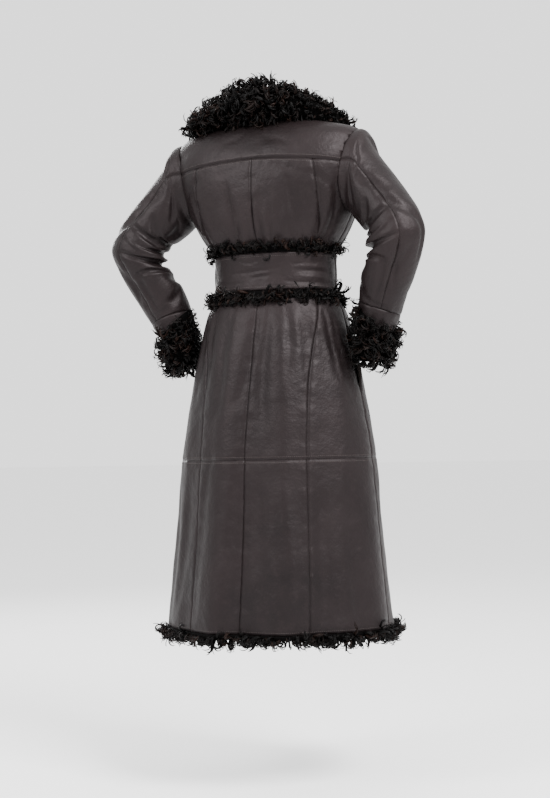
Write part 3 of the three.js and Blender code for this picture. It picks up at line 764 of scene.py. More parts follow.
def pocketFront(h):
    return coat["sideSeam"] + degreesFor(pocketGape(h), coat["sideSeam"], h)


def frontEdge(h):
    return 180 + body["edge"](h)


def lowest(relief, stride):
    # The lowest relief round each coarse grid point, so that an inner grid stays below every crease.
    rows, cols = relief.shape
    out = np.full(((rows - 1) // stride + 1, (cols - 1) // stride + 1), 1e9)
    padded = np.pad(relief, stride, mode="edge")
    for i in range(2 * stride + 1):
        for j in range(2 * stride + 1):
            near = padded[i : i + rows : stride, j : j + cols : stride]
            out = np.minimum(out, near[: out.shape[0], : out.shape[1]])
    return np.minimum(out, 0)


def innerGrid(*grids):
    # The coarser grids behind fine ones.
    return [grid[:: skin["stride"], :: skin["stride"]].copy() for grid in grids]


def addWall(name, outer, inner, closed, inside):
    made = wallMesh("leather_" + name, outer, inner, skin["stride"], closed, [leather, inside])
    panels[name] = (faceOutward(made), outer)


def bodyPanel(name, start, end, low, high, dip=noDip, sink=None):
    # One panel between two seam lines and two heights.
    gap = coat["seamGap"] / 2
    stride = skin["stride"]
    middle = np.array((low + high) / 2)
    first, last = float(start(middle)), float(end(middle))
    width = float(bodyRadius((first + last) / 2, middle)) * math.radians(last - first)
    cols = stride * max(2, round(width / skin["step"] / stride)) + 1
    rows = stride * max(2, round((high - low) / skin["step"] / stride)) + 1
    h = np.linspace(low + gap, high - gap, rows)[:, None]
    share = np.linspace(0, 1, cols)[None, :]
    a = start(h) + degreesFor(gap, start(h), h)
    b = end(h) - degreesFor(gap, end(h), h)
    angle = mix(a, b, share)
    level = h + dip(angle, h)
    lower = sink(angle, level) if sink else 0 * angle
    radius = bodyRadius(angle, level)
    fromSide = np.minimum(angle - a, b - angle) * radius * math.pi / 180
    fromEnd = np.minimum(h - low, high - h) + 0 * angle
    relief = seamEffect(fromSide, level, 1.3) + seamEffect(fromEnd, angle * radius * math.pi / 180, 3.1)
    relief = relief + creaseDepth(angle, level) + softUneven(bodySurface(angle, level), 34)
    outer = bodyPoint(angle, level, lower + relief)
    innerAngle, innerLevel, under = innerGrid(angle, level, lower)
    reach = degreesFor(skin["tuck"], innerAngle, innerLevel)
    innerAngle[:, 0] -= reach[:, 0]
    innerAngle[:, -1] += reach[:, -1]
    innerLevel[0] -= skin["tuck"]
    innerLevel[-1] += skin["tuck"]
    inner = bodyPoint(innerAngle, innerLevel, under + lowest(relief, stride) - coat["wall"])
    addWall(name, outer, inner, False, shornWool)


def mirrorLine(line):
    return lambda h: -line(h)


panels = {}
centreSeam = body["centre"]
princessSeam = body["princess"]
levels = {
    "bodice": (coat["waistSeam"], coat["yokeSeam"]),
    "skirt": (coat["skirtSeam"], coat["waistSeam"]),
    "hem": (-coat["length"], coat["skirtSeam"]),
}

for side, word in ((1, "left"), (-1, "right")):

    def between(a, b, side=side):
        return (a, b) if side > 0 else (mirrorLine(b), mirrorLine(a))

    def centrePair(b, side=side):
        return (centreSeam, b) if side > 0 else (mirrorLine(b), centreSeam)

    def wrap(angle, h, side=side):
        return underWrap(angle) if side > 0 else 0 * angle

    def pocketSink(angle, h, wrap=wrap):
        return wrap(angle, h) + pocketLift(angle, h)

    low, high = levels["bodice"]
    bodyPanel(f"bodice_back_centre_{word}", *centrePair(princessSeam), low, high, yokeDip)
    bodyPanel(f"bodice_back_side_{word}", *between(princessSeam, sideSeam), low, high, yokeDip)
    bodyPanel(f"bodice_front_{word}", *between(sideSeam, frontEdge), low, 0, noDip, wrap)
    low, high = levels["skirt"]
    bodyPanel(f"skirt_back_centre_{word}", *centrePair(princessSeam), low, high)
    bodyPanel(f"skirt_back_side_{word}", *between(princessSeam, pocketBack), low, high)
    bodyPanel(f"skirt_front_{word}", *between(pocketFront, frontEdge), low, high, noDip, pocketSink)
    low, high = levels["hem"]
    bodyPanel(f"hem_back_centre_{word}", *centrePair(princessSeam), low, high)
    bodyPanel(f"hem_back_side_{word}", *between(princessSeam, sideSeam), low, high)
    bodyPanel(f"hem_front_{word}", *between(sideSeam, frontEdge), low, high, noDip, wrap)
bodyPanel("back_yoke", mirrorLine(sideSeam), sideSeam, coat["yokeSeam"], 0, yokeDip)
print("body panels:", len(panels))


# Sleeves.
sleeveLook = {
    "rows": 129,
    "cols": 41,
    "bandRows": 25,
    "bandCols": 81,
    "ringSize": 50,  # millimetres for one ring, and for one degree round the arm
    "degreeSize": 1.15,
    "radius": 62,  # the arm's mean radius, and the one that the seam gap is taken at
    "gapRadius": 55,
    "deepest": 9,  # no crease goes deeper
    "head": 2.8,  # swell of the sleeve head beside the armhole, and how far it reaches
    "headWide": 15,
    "drift": 13,  # degrees that the back seam turns toward the yoke's seam
    "tuck": 0.7,  # degrees that the inner rims reach across a seam, and rings at the cuff seam
    "cuffTuck": 0.014,
    "cuffGap": 0.012,
}
# Creases of the sleeve: ring and angle of both ends, bend, half width and depth.
sleeveCreases = [
    (5.2, 188, 3.8, 96, 16, 20, -8),
    (6.1, 190, 5.2, 64, -16, 19, -11),
    (6.6, 176, 6.0, 84, 12, 12, 5),
    (7.2, 188, 6.9, 66, 12, 17, -11),
    (8.4, 186, 8.6, 82, -14, 17, -9),
    (9.5, 176, 10.2, 112, 10, 14, -6),
    (5.4, 176, 4.3, 268, 12, 19, -8),
    (6.6, 172, 6.0, 286, -14, 18, -11),
    (7.6, 172, 7.9, 276, 12, 17, -9),
    (9.0, 172, 9.7, 246, 8, 15, -7),
    (2.4, 84, 4.6, 34, 14, 17, -5.5),
    (2.0, 20, 3.5, -24, -10, 15, -5),
    (1.6, 100, 3.3, 128, 8, 15, -6.5),
    (1.4, 50, 2.7, 64, 6, 11, -5),
    (2.2, 140, 4.6, 150, 12, 18, -7),
    (3.4, 62, 6.4, 16, 24, 18, -6),
    (5.4, 40, 8.4, 8, -18, 16, -6),
    (7.2, 62, 10.0, 44, 10, 13, -6),
    (7.6, 34, 10.4, 58, 16, 18, -5),
    (8.2, 96, 10.4, 88, -8, 12, -6),
    (8.4, -30, 10.0, -10, -10, 16, -4.5),
    (5.0, -50, 6.8, -30, 12, 16, -5),
    (10.2, 150, 10.6, 40, 6, 9, -3),
]


def sleeveCreaseDepth(around, ring):
    around, ring = np.broadcast_arrays(around, ring)
    total = np.zeros(around.shape)
    for r0, a0, r1, a1, bend, width, depth in sleeveCreases:
        x = turned(around - a0) * sleeveLook["degreeSize"]
        y = ring * sleeveLook["ringSize"]
        x1 = (a1 - a0) * sleeveLook["degreeSize"]
        line = (0, r0 * sleeveLook["ringSize"], x1, r1 * sleeveLook["ringSize"], bend, width, depth)
        total += ridge(x, y, line)
    return sleeveLook["deepest"] * np.tanh(total / sleeveLook["deepest"])


armhole = {
    "margin": 0.8,  # how far outside the body a line of the sleeve still counts as in it
    "rings": np.linspace(0, 5, 251),  # where the lines are tried
    "blend": np.linspace(-12, 12, 9),  # degrees to both sides that smooth the edge
    "lap": 0.07,  # rings that the sleeve reaches into the body
    "cutRings": np.linspace(0, 4.4, 45),
    "cutAround": 49,
    "cutUnder": 3.2,  # the cut's size under the sleeve's outer face
}


def insideTorso(points, margin):
    # How far points lie inside the body's outer surface at their own height, or -99 above the shoulders.
    x, y, z = points[..., 0], points[..., 1], points[..., 2]
    angle = np.degrees(np.arctan2(x, y - 8))
    side = np.sin(np.radians(angle)) ** 2
    h = z
    for _ in range(12):
        h = np.clip(z - body["lift"](h) * side, -400, 0)
    angle = np.degrees(np.arctan2(x, y - body["shift"](h)))
    surface = bodySurface(angle, h)
    reach = np.hypot(surface[..., 0], surface[..., 1] - body["shift"](h))
    covered = z < body["lift"](0 * z) * side + 3
    return np.where(covered, reach + margin - np.hypot(x, y - body["shift"](h)), -99)


def armholeRing(around):
    # The ring at which each line along the sleeve leaves the body.
    rings = armhole["rings"]
    found = []
    for line in np.asarray(around)[None, :] + armhole["blend"][:, None]:
        inside = insideTorso(sleevePoint(line[None, :], rings[:, None], 0), armhole["margin"]) > 0
        last = [np.max(np.nonzero(column)[0], initial=0) for column in inside.T]
        found.append([rings[min(k + 1, len(rings) - 1)] for k in last])
    return np.mean(found, 0) - armhole["lap"]


def seamDrift(around, ring):
    # The back seam of the sleeve turns toward the yoke's seam near the shoulder.
    reach = softBump(turned(around - sleeve["backSeam"]) / 120)
    return sleeveLook["drift"] * reach * (1 - smoothStep(ring, 0.8, 3.6))


def atRing(value):
    return lambda around: value + 0 * around


def sleeveWall(name, start, end, first, last, rows, cols, seamBelow, mirror):
    # A wall on the arm between two angles; first and last give its end rings by angle.
    size = sleeveLook["ringSize"]
    closed = end - start >= 360
    gap = 0 if closed else math.degrees(coat["seamGap"] / 2 / sleeveLook["gapRadius"])
    share = np.linspace(0, 1, cols)
    if closed:
        share = share[:-1]
    around = mix(start + gap, end - gap, share) + seamDrift(mix(start, end, share), 1.6) * (not closed)
    v = np.linspace(0, 1, rows)[:, None]
    ring = mix(first(around)[None, :], last(around)[None, :], v)
    straight = mix(start + gap, end - gap, share)[None, :] + 0 * ring
    a = straight + seamDrift(straight, ring) * (not closed)
    noSeam = 999 + 0 * ring
    beside = np.minimum(straight - start, end - straight) * sleeveLook["radius"] * math.pi / 180
    fromSide = noSeam if closed else beside
    fromStart = (ring - first(around)) * size
    fromEnd = (last(around) - ring) * size if seamBelow else noSeam
    relief = seamEffect(fromSide, ring * size, 1.3)
    relief = relief + seamEffect(fromStart, a, 0.4) + seamEffect(fromEnd, a, 2.2)
    relief = relief + sleeveCreaseDepth(a, ring)
    if not closed:
        relief = relief + sleeveLook["head"] * np.exp(-((fromStart / sleeveLook["headWide"]) ** 2))
    relief = relief + softUneven(sleeveSurface(a, ring) + (0, 40, 0), 30)
    outer = sleevePoint(a, ring, relief)
    innerAround, innerRing = innerGrid(a, ring)
    if not closed:
        innerAround[:, 0] -= sleeveLook["tuck"]
        innerAround[:, -1] += sleeveLook["tuck"]
    innerRing[-1] += sleeveLook["cuffTuck"] * seamBelow
    inner = sleevePoint(innerAround, innerRing, lowest(relief, skin["stride"]) - coat["wall"])
    if mirror:
        outer, inner = outer * (-1, 1, 1), inner * (-1, 1, 1)
    addWall(name, outer, inner, closed, shornWool)


back, front, cuffSeam = sleeve["backSeam"], sleeve["frontSeam"], sleeve["cuffSeam"]
for word, mirror in (("left", False), ("right", True)):
    for part, start, end in (("sleeve_top", front - 360, back), ("sleeve_under", back, front)):
        size = sleeveLook["rows"], sleeveLook["cols"]
        sleeveWall(f"{part}_{word}", start, end, armholeRing, atRing(cuffSeam), *size, True, mirror)
    size = sleeveLook["bandRows"], sleeveLook["bandCols"]
    band = atRing(cuffSeam + sleeveLook["cuffGap"])
    sleeveWall(f"cuff_band_{word}", back, back + 360, band, atRing(sleeve["end"]), *size, False, mirror)
print("sleeves sewn")


def cutArmholes(made):
    # What lies inside the sleeves is cut out of a panel.
    ring = armhole["cutRings"][:, None]
    around = np.linspace(0, 360, armhole["cutAround"])[:-1][None, :]
    for side in (1, -1):
        tube = sleevePoint(around + 0 * ring, ring + 0 * around, -armhole["cutUnder"]) * (side, 1, 1)
        rows, cols = tube.shape[:2]
        faces = [tuple(f) for f in gridFaces(rows, cols, True)]
        faces += [tuple(range(cols))[::-1], tuple(range((rows - 1) * cols, rows * cols))]
        cutter = faceOutward(addMesh("armhole_cutter", tube.reshape(-1, 3), faces, [shornWool]))
        modifier = made.modifiers.new("armhole", "BOOLEAN")
        modifier.operation, modifier.solver, modifier.object = "DIFFERENCE", "EXACT", cutter
        bpy.context.view_layer.update()
        shown = made.evaluated_get(bpy.context.evaluated_depsgraph_get())
        cut = bpy.data.meshes.new_from_object(shown)
        made.modifiers.remove(modifier)
        made.data = cut
        bpy.data.objects.remove(cutter)


armholePanels = ("bodice_front", "bodice_back_side", "back_yoke")
for name, (made, outer) in panels.items():
    if name.startswith(armholePanels):
        cutArmholes(made)
print("armholes cut")


# Belt, its end and loops, and the pockets. The belt's creases are as those of the body.
beltLook = {
    "cols": 240,
    "rows": 25,
    "foldEdge": 3,  # how far in from an edge the strip turns under, and how deep
    "foldDrop": 1.2,
    "groove": 8,  # the sewn line: its place in from the edge, half width and depth
    "grooveWide": 1.3,
    "grooveDeep": 0.7,
    "ripple": 0.3,
    "creaseDepth": 1.8,
    "degreeSize": 2.2,
}
beltCreases = [
    (-6, -341, 30, -338, 12, 4.5, -1.6),
    (-88, -380, -44, -373, -2, 5, -1.9),
    (-84, -402, -30, -398, 3, 6, -1.6),
    (-54, -353, -38, -356, 3, 4, -1.5),
    (-16, -386, 8, -390, -3, 4.5, -1.6),
    (-30, -366, 50, -372, 5, 6, -1.3),
    (-96, -346, -62, -350, 4, 5, -1.5),
    (-82, -365, -42, -363, 0, 7, 1.0),
    (-82, -391, -40, -387, 0, 7, 1.0),
    (-18, -376, 12, -379, 0, 7, 0.9),
    (20, -398, 60, -394, 3, 5, -1.4),
    (70, -380, 140, -372, 5, 6, -1.5),
    (100, -356, 190, -350, 5, 5, -1.3),
    (-200, -392, -110, -398, 4, 5, -1.4),
    (-160, -366, -100, -372, -5, 6, -1.5),
]


def foldedEdge(fromEdge, look):
    turnedUnder = -look["foldDrop"] * np.clip(1 - fromEdge / look["foldEdge"], 0, 1) ** 2
    besideGroove = (fromEdge - look["groove"]) / look["grooveWide"]
    return turnedUnder - look["grooveDeep"] * np.exp(-(besideGroove**2))


def beltRelief(angle, h):
    perDegree = beltLook["degreeSize"]
    across = (angle % 360) * perDegree
    total = 0 * (angle + h)
    for a0, h0, a1, h1, bend, width, depth in beltCreases:
        x = turned(angle - a0) * perDegree
        depth = depth * beltLook["creaseDepth"]
        total = total + ridge(x, h, (0, h0, (a1 - a0) * perDegree, h1, bend, width, depth))
    fromEdge = np.minimum(belt["top"] - h, h - belt["bottom"])
    ripple = beltLook["ripple"] * np.sin(across / 6.1 + h / 9) * np.sin(across / 13 + 1)
    return total + foldedEdge(fromEdge, beltLook) + ripple


beltOut = belt["gap"] + belt["thick"]
angle = np.linspace(0, 360, beltLook["cols"] + 1)[None, :-1] + np.zeros((beltLook["rows"], 1))
h = np.linspace(belt["bottom"], belt["top"], beltLook["rows"])[:, None] + 0 * angle
outer = bodyPoint(angle, h, beltOut + beltRelief(angle, h))
addWall("belt", outer, bodyPoint(*innerGrid(angle, h), belt["gap"]), True, leather)

beltEndLook = {
    "cols": 61,
    "rows": 33,
    "margin": 2,  # narrower than the belt at each edge
    "round": 0.55,  # how much the tip narrows, and from which share of its length
    "roundFrom": 0.75,
    "long": 70,
    "foldEdge": 3,
    "foldDrop": 1.2,
    "groove": 7,
    "grooveWide": 1.2,
    "grooveDeep": 0.6,
}
share = np.linspace(0, 1, beltEndLook["cols"])[None, :]
tip = np.sqrt(1 - beltEndLook["round"] * smoothStep(share, beltEndLook["roundFrom"], 1) ** 2)
halfHigh = ((belt["top"] - belt["bottom"]) / 2 - beltEndLook["margin"]) * tip
h = coat["waistSeam"] + np.linspace(-1, 1, beltEndLook["rows"])[:, None] * halfHigh
angle = mix(belt["endFrom"], belt["endTo"], share) + 0 * h
fromTip = np.minimum(share, 1 - share) * beltEndLook["long"] + 0 * h
fromEdge = np.minimum(halfHigh - np.abs(h - coat["waistSeam"]), fromTip)
outer = bodyPoint(angle, h, 2 * beltOut + foldedEdge(fromEdge, beltEndLook))
addWall("belt_end", outer, bodyPoint(*innerGrid(angle, h), beltOut + belt["gap"]), False, leather)

loopLook = {"cols": 9, "rows": 41, "wide": 6, "thick": 1.8, "crown": 0.5, "off": 0.4, "stand": 8, "margin": 3}
pocketLook = {"cols": 25, "rows": 33, "reach": 11, "above": 14, "below": 16, "under": 1.7, "thick": 2}


def beltLoop(side, word):
    # A loop that stands off the belt at the side seam.
    look = loopLook
    half = float(degreesFor(look["wide"] / 2, coat["sideSeam"], coat["waistSeam"]))
    v = np.linspace(0, 1, look["rows"])[:, None]
    across = np.linspace(-1, 1, look["cols"])[None, :]
    angle = side * (coat["sideSeam"] + half * across) + 0 * v
    h = mix(belt["bottom"] + look["margin"], belt["top"] - look["margin"], v) + 0 * angle
    off = beltOut + look["off"] + look["stand"] * np.sin(math.pi * v) ** 0.6 + 0 * angle
    outer = bodyPoint(angle, h, off + look["thick"] - look["crown"] * across**2)
    inner = bodyPoint(*innerGrid(angle, h, off))
    addWall(f"belt_loop_{word}", outer, inner, False, leather)


def pocketBag(side, word):
    # The hollow bag behind the slit in the side seam.
    look = pocketLook
    u = np.linspace(0, 1, look["cols"])[None, :]
    v = np.linspace(0, 1, look["rows"])[:, None]
    angle = side * mix(coat["sideSeam"] - look["reach"], coat["sideSeam"] + look["reach"], u) + 0 * v
    h = mix(pocket["bottom"] - look["below"], pocket["top"] + look["above"], v) + 0 * u
    hollow = pocket["deep"] * np.abs(np.sin(math.pi * u) * np.sin(math.pi * v)) ** 0.7
    off = -coat["wall"] - look["under"] - hollow
    inner = bodyPoint(*innerGrid(angle, h, off - look["thick"]))
    addWall(f"pocket_{word}", bodyPoint(angle, h, off), inner, False, shornWool)


for side, word in ((1, "left"), (-1, "right")):
    beltLoop(side, word)
    pocketBag(side, word)
print("belt, loops and pockets made")

# What each piece hangs from; a name that ends in _ is taken on the piece's own side.
hangsFrom = {
    "bodice": "back_yoke",
    "skirt_back_centre": "bodice_back_centre_",
    "skirt_back_side": "bodice_back_side_",
    "skirt_front": "bodice_front_",
    "hem_back_centre": "skirt_back_centre_",
    "hem_back_side": "skirt_back_side_",
    "hem_front": "skirt_front_",
    "sleeve_top": "back_yoke",
    "sleeve_under": "back_yoke",
    "cuff_band": "sleeve_top_",
    "belt_end": "belt",
    "belt": "bodice_back_centre_left",
    "pocket": "skirt_front_",
}
for name, (made, outer) in panels.items():
    addPiece(made, name)
for name, (made, outer) in panels.items():
    if name.startswith("belt_loop"):  # too narrow; its flat size is not worked out
        continue
    flat, area = flatSize(outer, name == "belt" or name.startswith("cuff_band"))
    if name.startswith(armholePanels):
        area = sum(face.area for face in made.data.polygons if face.material_index == 0)
    carrier = next((found for part, found in hangsFrom.items() if name.startswith(part)), "")
    carrier += name.rsplit("_", 1)[1] if carrier.endswith("_") else ""


# What the node trees share.
def newTree(name, sockets):
    tree = bpy.data.node_groups.new(name, "GeometryNodeTree")
    tree.interface.new_socket("Geometry", in_out="INPUT", socket_type="NodeSocketGeometry")
    for socket, kind in sockets.items():
        tree.interface.new_socket(socket, in_out="INPUT", socket_type="NodeSocket" + kind)
    tree.interface.new_socket("Finish", in_out="INPUT", socket_type="NodeSocketMaterial")
    tree.interface.new_socket("Geometry", in_out="OUTPUT", socket_type="NodeSocketGeometry")
    return tree, tree.nodes.new("NodeGroupInput").outputs


def endTree(tree, geometry, finish):
    make, link = tree.nodes.new, tree.links.new
    plain, dress = make("GeometryNodeRealizeInstances"), make("GeometryNodeSetMaterial")
    link(geometry, plain.inputs[0])
    link(plain.outputs[0], dress.inputs["Geometry"])
    link(finish, dress.inputs["Material"])
    link(dress.outputs[0], make("NodeGroupOutput").inputs[0])
    return tree


def namedAttribute(tree, name, kind):
    node = tree.nodes.new("GeometryNodeInputNamedAttribute")
    node.data_type = kind
    node.inputs["Name"].default_value = name
    return node.outputs["Attribute"]


def treeMesh(base, tree, given):
    # The plain mesh that a node tree makes of an object, which is then removed.
    modifier = base.modifiers.new(tree.name, "NODES")
    modifier.node_group = tree
    for item in tree.interface.items_tree:
        if item.in_out == "INPUT" and item.name in given:
            modifier[item.identifier] = given[item.name]
    base.update_tag()
    bpy.context.view_layer.update()
    shown = base.evaluated_get(bpy.context.evaluated_depsgraph_get())
    mesh = bpy.data.meshes.new_from_object(shown)
    base.modifiers.remove(modifier)
    removeObject(base)
    return mesh


# Stitches along the seams: one small stitch repeated on lines that lie on the panels.
stitchLook = {"long": 3.3, "wide": 0.85, "high": 0.6, "pitch": 4.7, "fromSeam": 1, "off": 0.25}
seamPaths = []


def addSeamPath(line, beside):
    # A line of points on a panel and the line next to it, which gives the surface's direction.
    along = unitVectors(np.gradient(line, axis=0))
    normal = unitVectors(np.cross(along, beside - line))
    outward = line * (1, 1, 0)
    normal = normal * np.sign((normal * outward).sum(-1, keepdims=True))
    seamPaths.append((line + normal * stitchLook["off"], normal))


k = stitchLook["fromSeam"]
for name, (made, outer) in panels.items():
    if name.startswith(("bodice", "skirt", "hem")):
        addSeamPath(outer[-1 - k], outer[-2 - k])
    if name.startswith(("hem", "skirt", "back_yoke")):
        addSeamPath(outer[k], outer[k + 1])
    if name.startswith(("hem_front", "skirt_front")):
        addSeamPath(outer[:, k], outer[:, k + 1])
        addSeamPath(outer[:, -1 - k], outer[:, -2 - k])
beltGrid = np.concatenate([panels["belt"][1], panels["belt"][1][:, :1]], 1)
for row in (2, -3):
    addSeamPath(beltGrid[row], beltGrid[row + 1])

points, normals, edges = [], [], []
for line, normal in seamPaths:
    start = len(points)
    points += line.tolist()
    normals += normal.tolist()
    edges += [(start + i, start + i + 1) for i in range(len(line) - 1)]
pathMesh = bpy.data.meshes.new("seam_paths")
pathMesh.from_pydata((np.array(points) / 1000).tolist(), edges, [])
spot = pathMesh.attributes.new("lie", "FLOAT_VECTOR", "POINT")
spot.data.foreach_set("vector", np.array(normals).reshape(-1))

half = np.array([stitchLook["long"], stitchLook["wide"], stitchLook["high"]]) / 2000
ends = [(1, 0, -0.6), (0.45, 1, 0), (-0.45, 1, 0), (-1, 0, -0.6), (-0.45, -1, 0), (0.45, -1, 0), (0, 0, 1)]
stitchFaces = [(i, (i + 1) % 6, 6) for i in range(6)] + [(5, 4, 3, 2, 1, 0)]
stitchMesh = bpy.data.meshes.new("stitch")
stitchMesh.from_pydata([tuple(np.array(end) * half) for end in ends], [], stitchFaces)
stitch = addObject("stitch", stitchMesh)


def stitchTree():
    tree, given = newTree("seamStitches", {"Stitch": "Object", "Pitch": "Float"})
    make, link = tree.nodes.new, tree.links.new
    curve, even = make("GeometryNodeMeshToCurve"), make("GeometryNodeResampleCurve")
    even.mode = "LENGTH"
    link(given["Geometry"], curve.inputs[0])
    link(curve.outputs[0], even.inputs["Curve"])
    link(given["Pitch"], even.inputs["Length"])
    stand, along = make("FunctionNodeAlignRotationToVector"), make("FunctionNodeAlignRotationToVector")
    stand.axis, along.axis, along.pivot_axis = "Z", "X", "Z"
    link(namedAttribute(tree, "lie", "FLOAT_VECTOR"), stand.inputs["Vector"])
    link(stand.outputs[0], along.inputs["Rotation"])
    link(make("GeometryNodeInputTangent").outputs[0], along.inputs["Vector"])
    shape, copies = make("GeometryNodeObjectInfo"), make("GeometryNodeInstanceOnPoints")
    link(given["Stitch"], shape.inputs["Object"])
    link(even.outputs[0], copies.inputs["Points"])
    link(shape.outputs["Geometry"], copies.inputs["Instance"])
    link(along.outputs[0], copies.inputs["Rotation"])
    return endTree(tree, copies.outputs[0], given["Finish"])


given = {"Stitch": stitch, "Pitch": stitchLook["pitch"] / 1000, "Finish": darkThread}
sewn = addObject("stitches", treeMesh(addObject("seam_paths", pathMesh), stitchTree(), given))
removeObject(stitch)
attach(sewn, "root")
print("stitches sewn")


# Curly fur. Each lock is a tapered curl; the beds below it are the shapes the locks grow from.
curlLook = {
    "kinds": 10,
    "long": (27, 46),
    "straight": (0.05, 0.3),
    "turn": (2.4, 6.0),
    "drift": 1.0,
    "thick": (3.0, 1.7, 1.2),
    "steps": (7, 6, 5),
    "part": 4.0,
    "tip": 0.26,
    "sizes": (0.62, 1.32),
    "seed": 11,
}


def strandMesh(shape, thick, steps, offset, verts, faces):
    # One tapered strand in millimetres: straight at the root, then turning into a hook.
    long, straight, turn, drift = shape
    point, points, ways = np.array(offset) * 0.4, [], []
    for i in range(steps + 1):
        t = i / steps
        bend = turn * max(0, (t - straight) / (1 - straight)) ** 1.15
        side = drift * t * 2.4
        swing = math.sin(bend) * math.sin(side) + 0.35 * drift * t
        way = np.array([math.sin(bend) * math.cos(side), swing, math.cos(bend)])
        points.append(point + np.array(offset) * t)
        ways.append(way / np.linalg.norm(way))
        point = point + ways[-1] * long / steps
    start, across = len(verts), np.array([0.0, 1.0, 0.0])
    for i, (place, way) in enumerate(zip(points[:-1], ways)):
        across = across - way * across.dot(way)
        across /= np.linalg.norm(across)
        other = np.cross(way, across)
        t = i / steps
        wide = thick * (0.75 + 0.6 * t) * (1 - t) ** 0.6 + curlLook["tip"]
        for k in range(3):
            a = 2 * math.pi * k / 3
            verts.append(place + wide * (math.cos(a) * across * 1.35 + math.sin(a) * other * 0.8))
    verts.append(points[-1])
    for i in range(steps - 1):
        for k in range(3):
            a, b = start + 3 * i + k, start + 3 * i + (k + 1) % 3
            faces.append((a, b, b + 3, a + 3))
    last = start + 3 * (steps - 1)
    faces += [(last + k, last + (k + 1) % 3, start + 3 * steps) for k in range(3)]
    faces.append((start + 2, start + 1, start))


def curlMesh(name, rng):
    # A lock of one thick strand and finer ones that part from it toward the tip.
    long, straight = rng.uniform(*curlLook["long"]), rng.uniform(*curlLook["straight"])
    turn, drift = rng.uniform(*curlLook["turn"]), rng.uniform(-1, 1) * curlLook["drift"]
    verts, faces = [], []
    for i, (thick, steps) in enumerate(zip(curlLook["thick"], curlLook["steps"])):
        loose = 0 if i == 0 else 1
        shape = (
            long * rng.uniform(0.8, 1.1),
            straight * (1 + loose * rng.uniform(-0.4, 0.3)),
            turn * (1 + loose * rng.uniform(-0.35, 0.2)),
            drift + loose * rng.uniform(-0.5, 0.5),
        )
        strandMesh(shape, thick, steps, loose * rng.uniform(-1, 1, 3) * curlLook["part"], verts, faces)
    mesh = bpy.data.meshes.new(name)
    mesh.from_pydata([tuple(v / 1000) for v in verts], [], faces)
    mesh.polygons.foreach_set("use_smooth", [True] * len(mesh.polygons))
    return bpy.data.objects.new(name, mesh)


curlKinds = bpy.data.collections.new("curl_kinds")
bpy.context.scene.collection.children.link(curlKinds)
curlRng = np.random.default_rng(curlLook["seed"])
for i in range(curlLook["kinds"]):
    curlKinds.objects.link(curlMesh(f"curl_kind_{i}", curlRng))


def furTree():
    # Locks on a bed: points by the cover attribute, turned along normal and comb, one of the curls on each.
    sockets = {"Locks": "Collection", "Density": "Float", "Seed": "Int", "Size": "Float", "Unruly": "Float"}
    tree, given = newTree("furLocks", sockets)
    make, link = tree.nodes.new, tree.links.new

    def maths(operation, a, b, kind="ShaderNodeMath"):
        node = make(kind)
        node.operation = operation
        for place, value in ((node.inputs[0], a), (node.inputs[1], b)):
            if isinstance(value, (int, float)):
                place.default_value = value
            else:
                link(value, place)
        return node.outputs[0]

    def chance(kind, low, high, draw):
        node = make("FunctionNodeRandomValue")
        node.data_type = kind
        places = [s for s in node.inputs if s.enabled and s.name in ("Min", "Max")]
        places[0].default_value, places[1].default_value = low, high
        link(maths("ADD", given["Seed"], draw), node.inputs["Seed"])
        return next(s for s in node.outputs if s.enabled)

    spots = make("GeometryNodeDistributePointsOnFaces")
    link(given["Geometry"], spots.inputs["Mesh"])
    link(maths("MULTIPLY", given["Density"], namedAttribute(tree, "cover", "FLOAT")), spots.inputs["Density"])
    link(given["Seed"], spots.inputs["Seed"])
    wild = make("ShaderNodeVectorMath")
    wild.operation = "SCALE"
    link(chance("FLOAT_VECTOR", (-1, -1, -1), (1, 1, 1), 1), wild.inputs[0])
    link(given["Unruly"], wild.inputs["Scale"])
    comb = namedAttribute(tree, "comb", "FLOAT_VECTOR")
    way = maths("ADD", spots.outputs["Normal"], comb, "ShaderNodeVectorMath")
    way = maths("ADD", way, wild.outputs[0], "ShaderNodeVectorMath")
    align = make("FunctionNodeAlignRotationToVector")
    align.axis = "Z"
    link(way, align.inputs["Vector"])
    spin = make("ShaderNodeCombineXYZ")
    link(chance("FLOAT", 0, 6.2832, 2), spin.inputs["Z"])
    toTurn = make("FunctionNodeEulerToRotation")
    link(spin.outputs[0], toTurn.inputs[0])
    turn = make("FunctionNodeRotateRotation")
    turn.rotation_space = "LOCAL"
    link(align.outputs[0], turn.inputs[0])
    link(toTurn.outputs[0], turn.inputs[1])
    size = maths("MULTIPLY", given["Size"], namedAttribute(tree, "tall", "FLOAT"))
    size = maths("MULTIPLY", size, chance("FLOAT", *curlLook["sizes"], 3))
    kinds = make("GeometryNodeCollectionInfo")
    link(given["Locks"], kinds.inputs["Collection"])
    kinds.inputs["Separate Children"].default_value = True
    kinds.inputs["Reset Children"].default_value = True
    copies = make("GeometryNodeInstanceOnPoints")
    copies.inputs["Pick Instance"].default_value = True
    link(spots.outputs["Points"], copies.inputs["Points"])
    link(kinds.outputs[0], copies.inputs["Instance"])
    link(chance("INT", 0, curlLook["kinds"] - 1, 4), copies.inputs["Instance Index"])
    link(turn.outputs[0], copies.inputs["Rotation"])
    link(size, copies.inputs["Scale"])
    tone = make("GeometryNodeStoreNamedAttribute")
    tone.data_type, tone.domain = "FLOAT", "INSTANCE"
    tone.inputs["Name"].default_value = "tone"
    link(copies.outputs[0], tone.inputs["Geometry"])
    link(chance("FLOAT", 0.0, 1.0, 5), next(s for s in tone.inputs if s.name == "Value" and s.enabled))
    return endTree(tree, tone.outputs[0], given["Finish"])


furLocks = furTree()
bedNotes = ("cover", "tall", "comb")


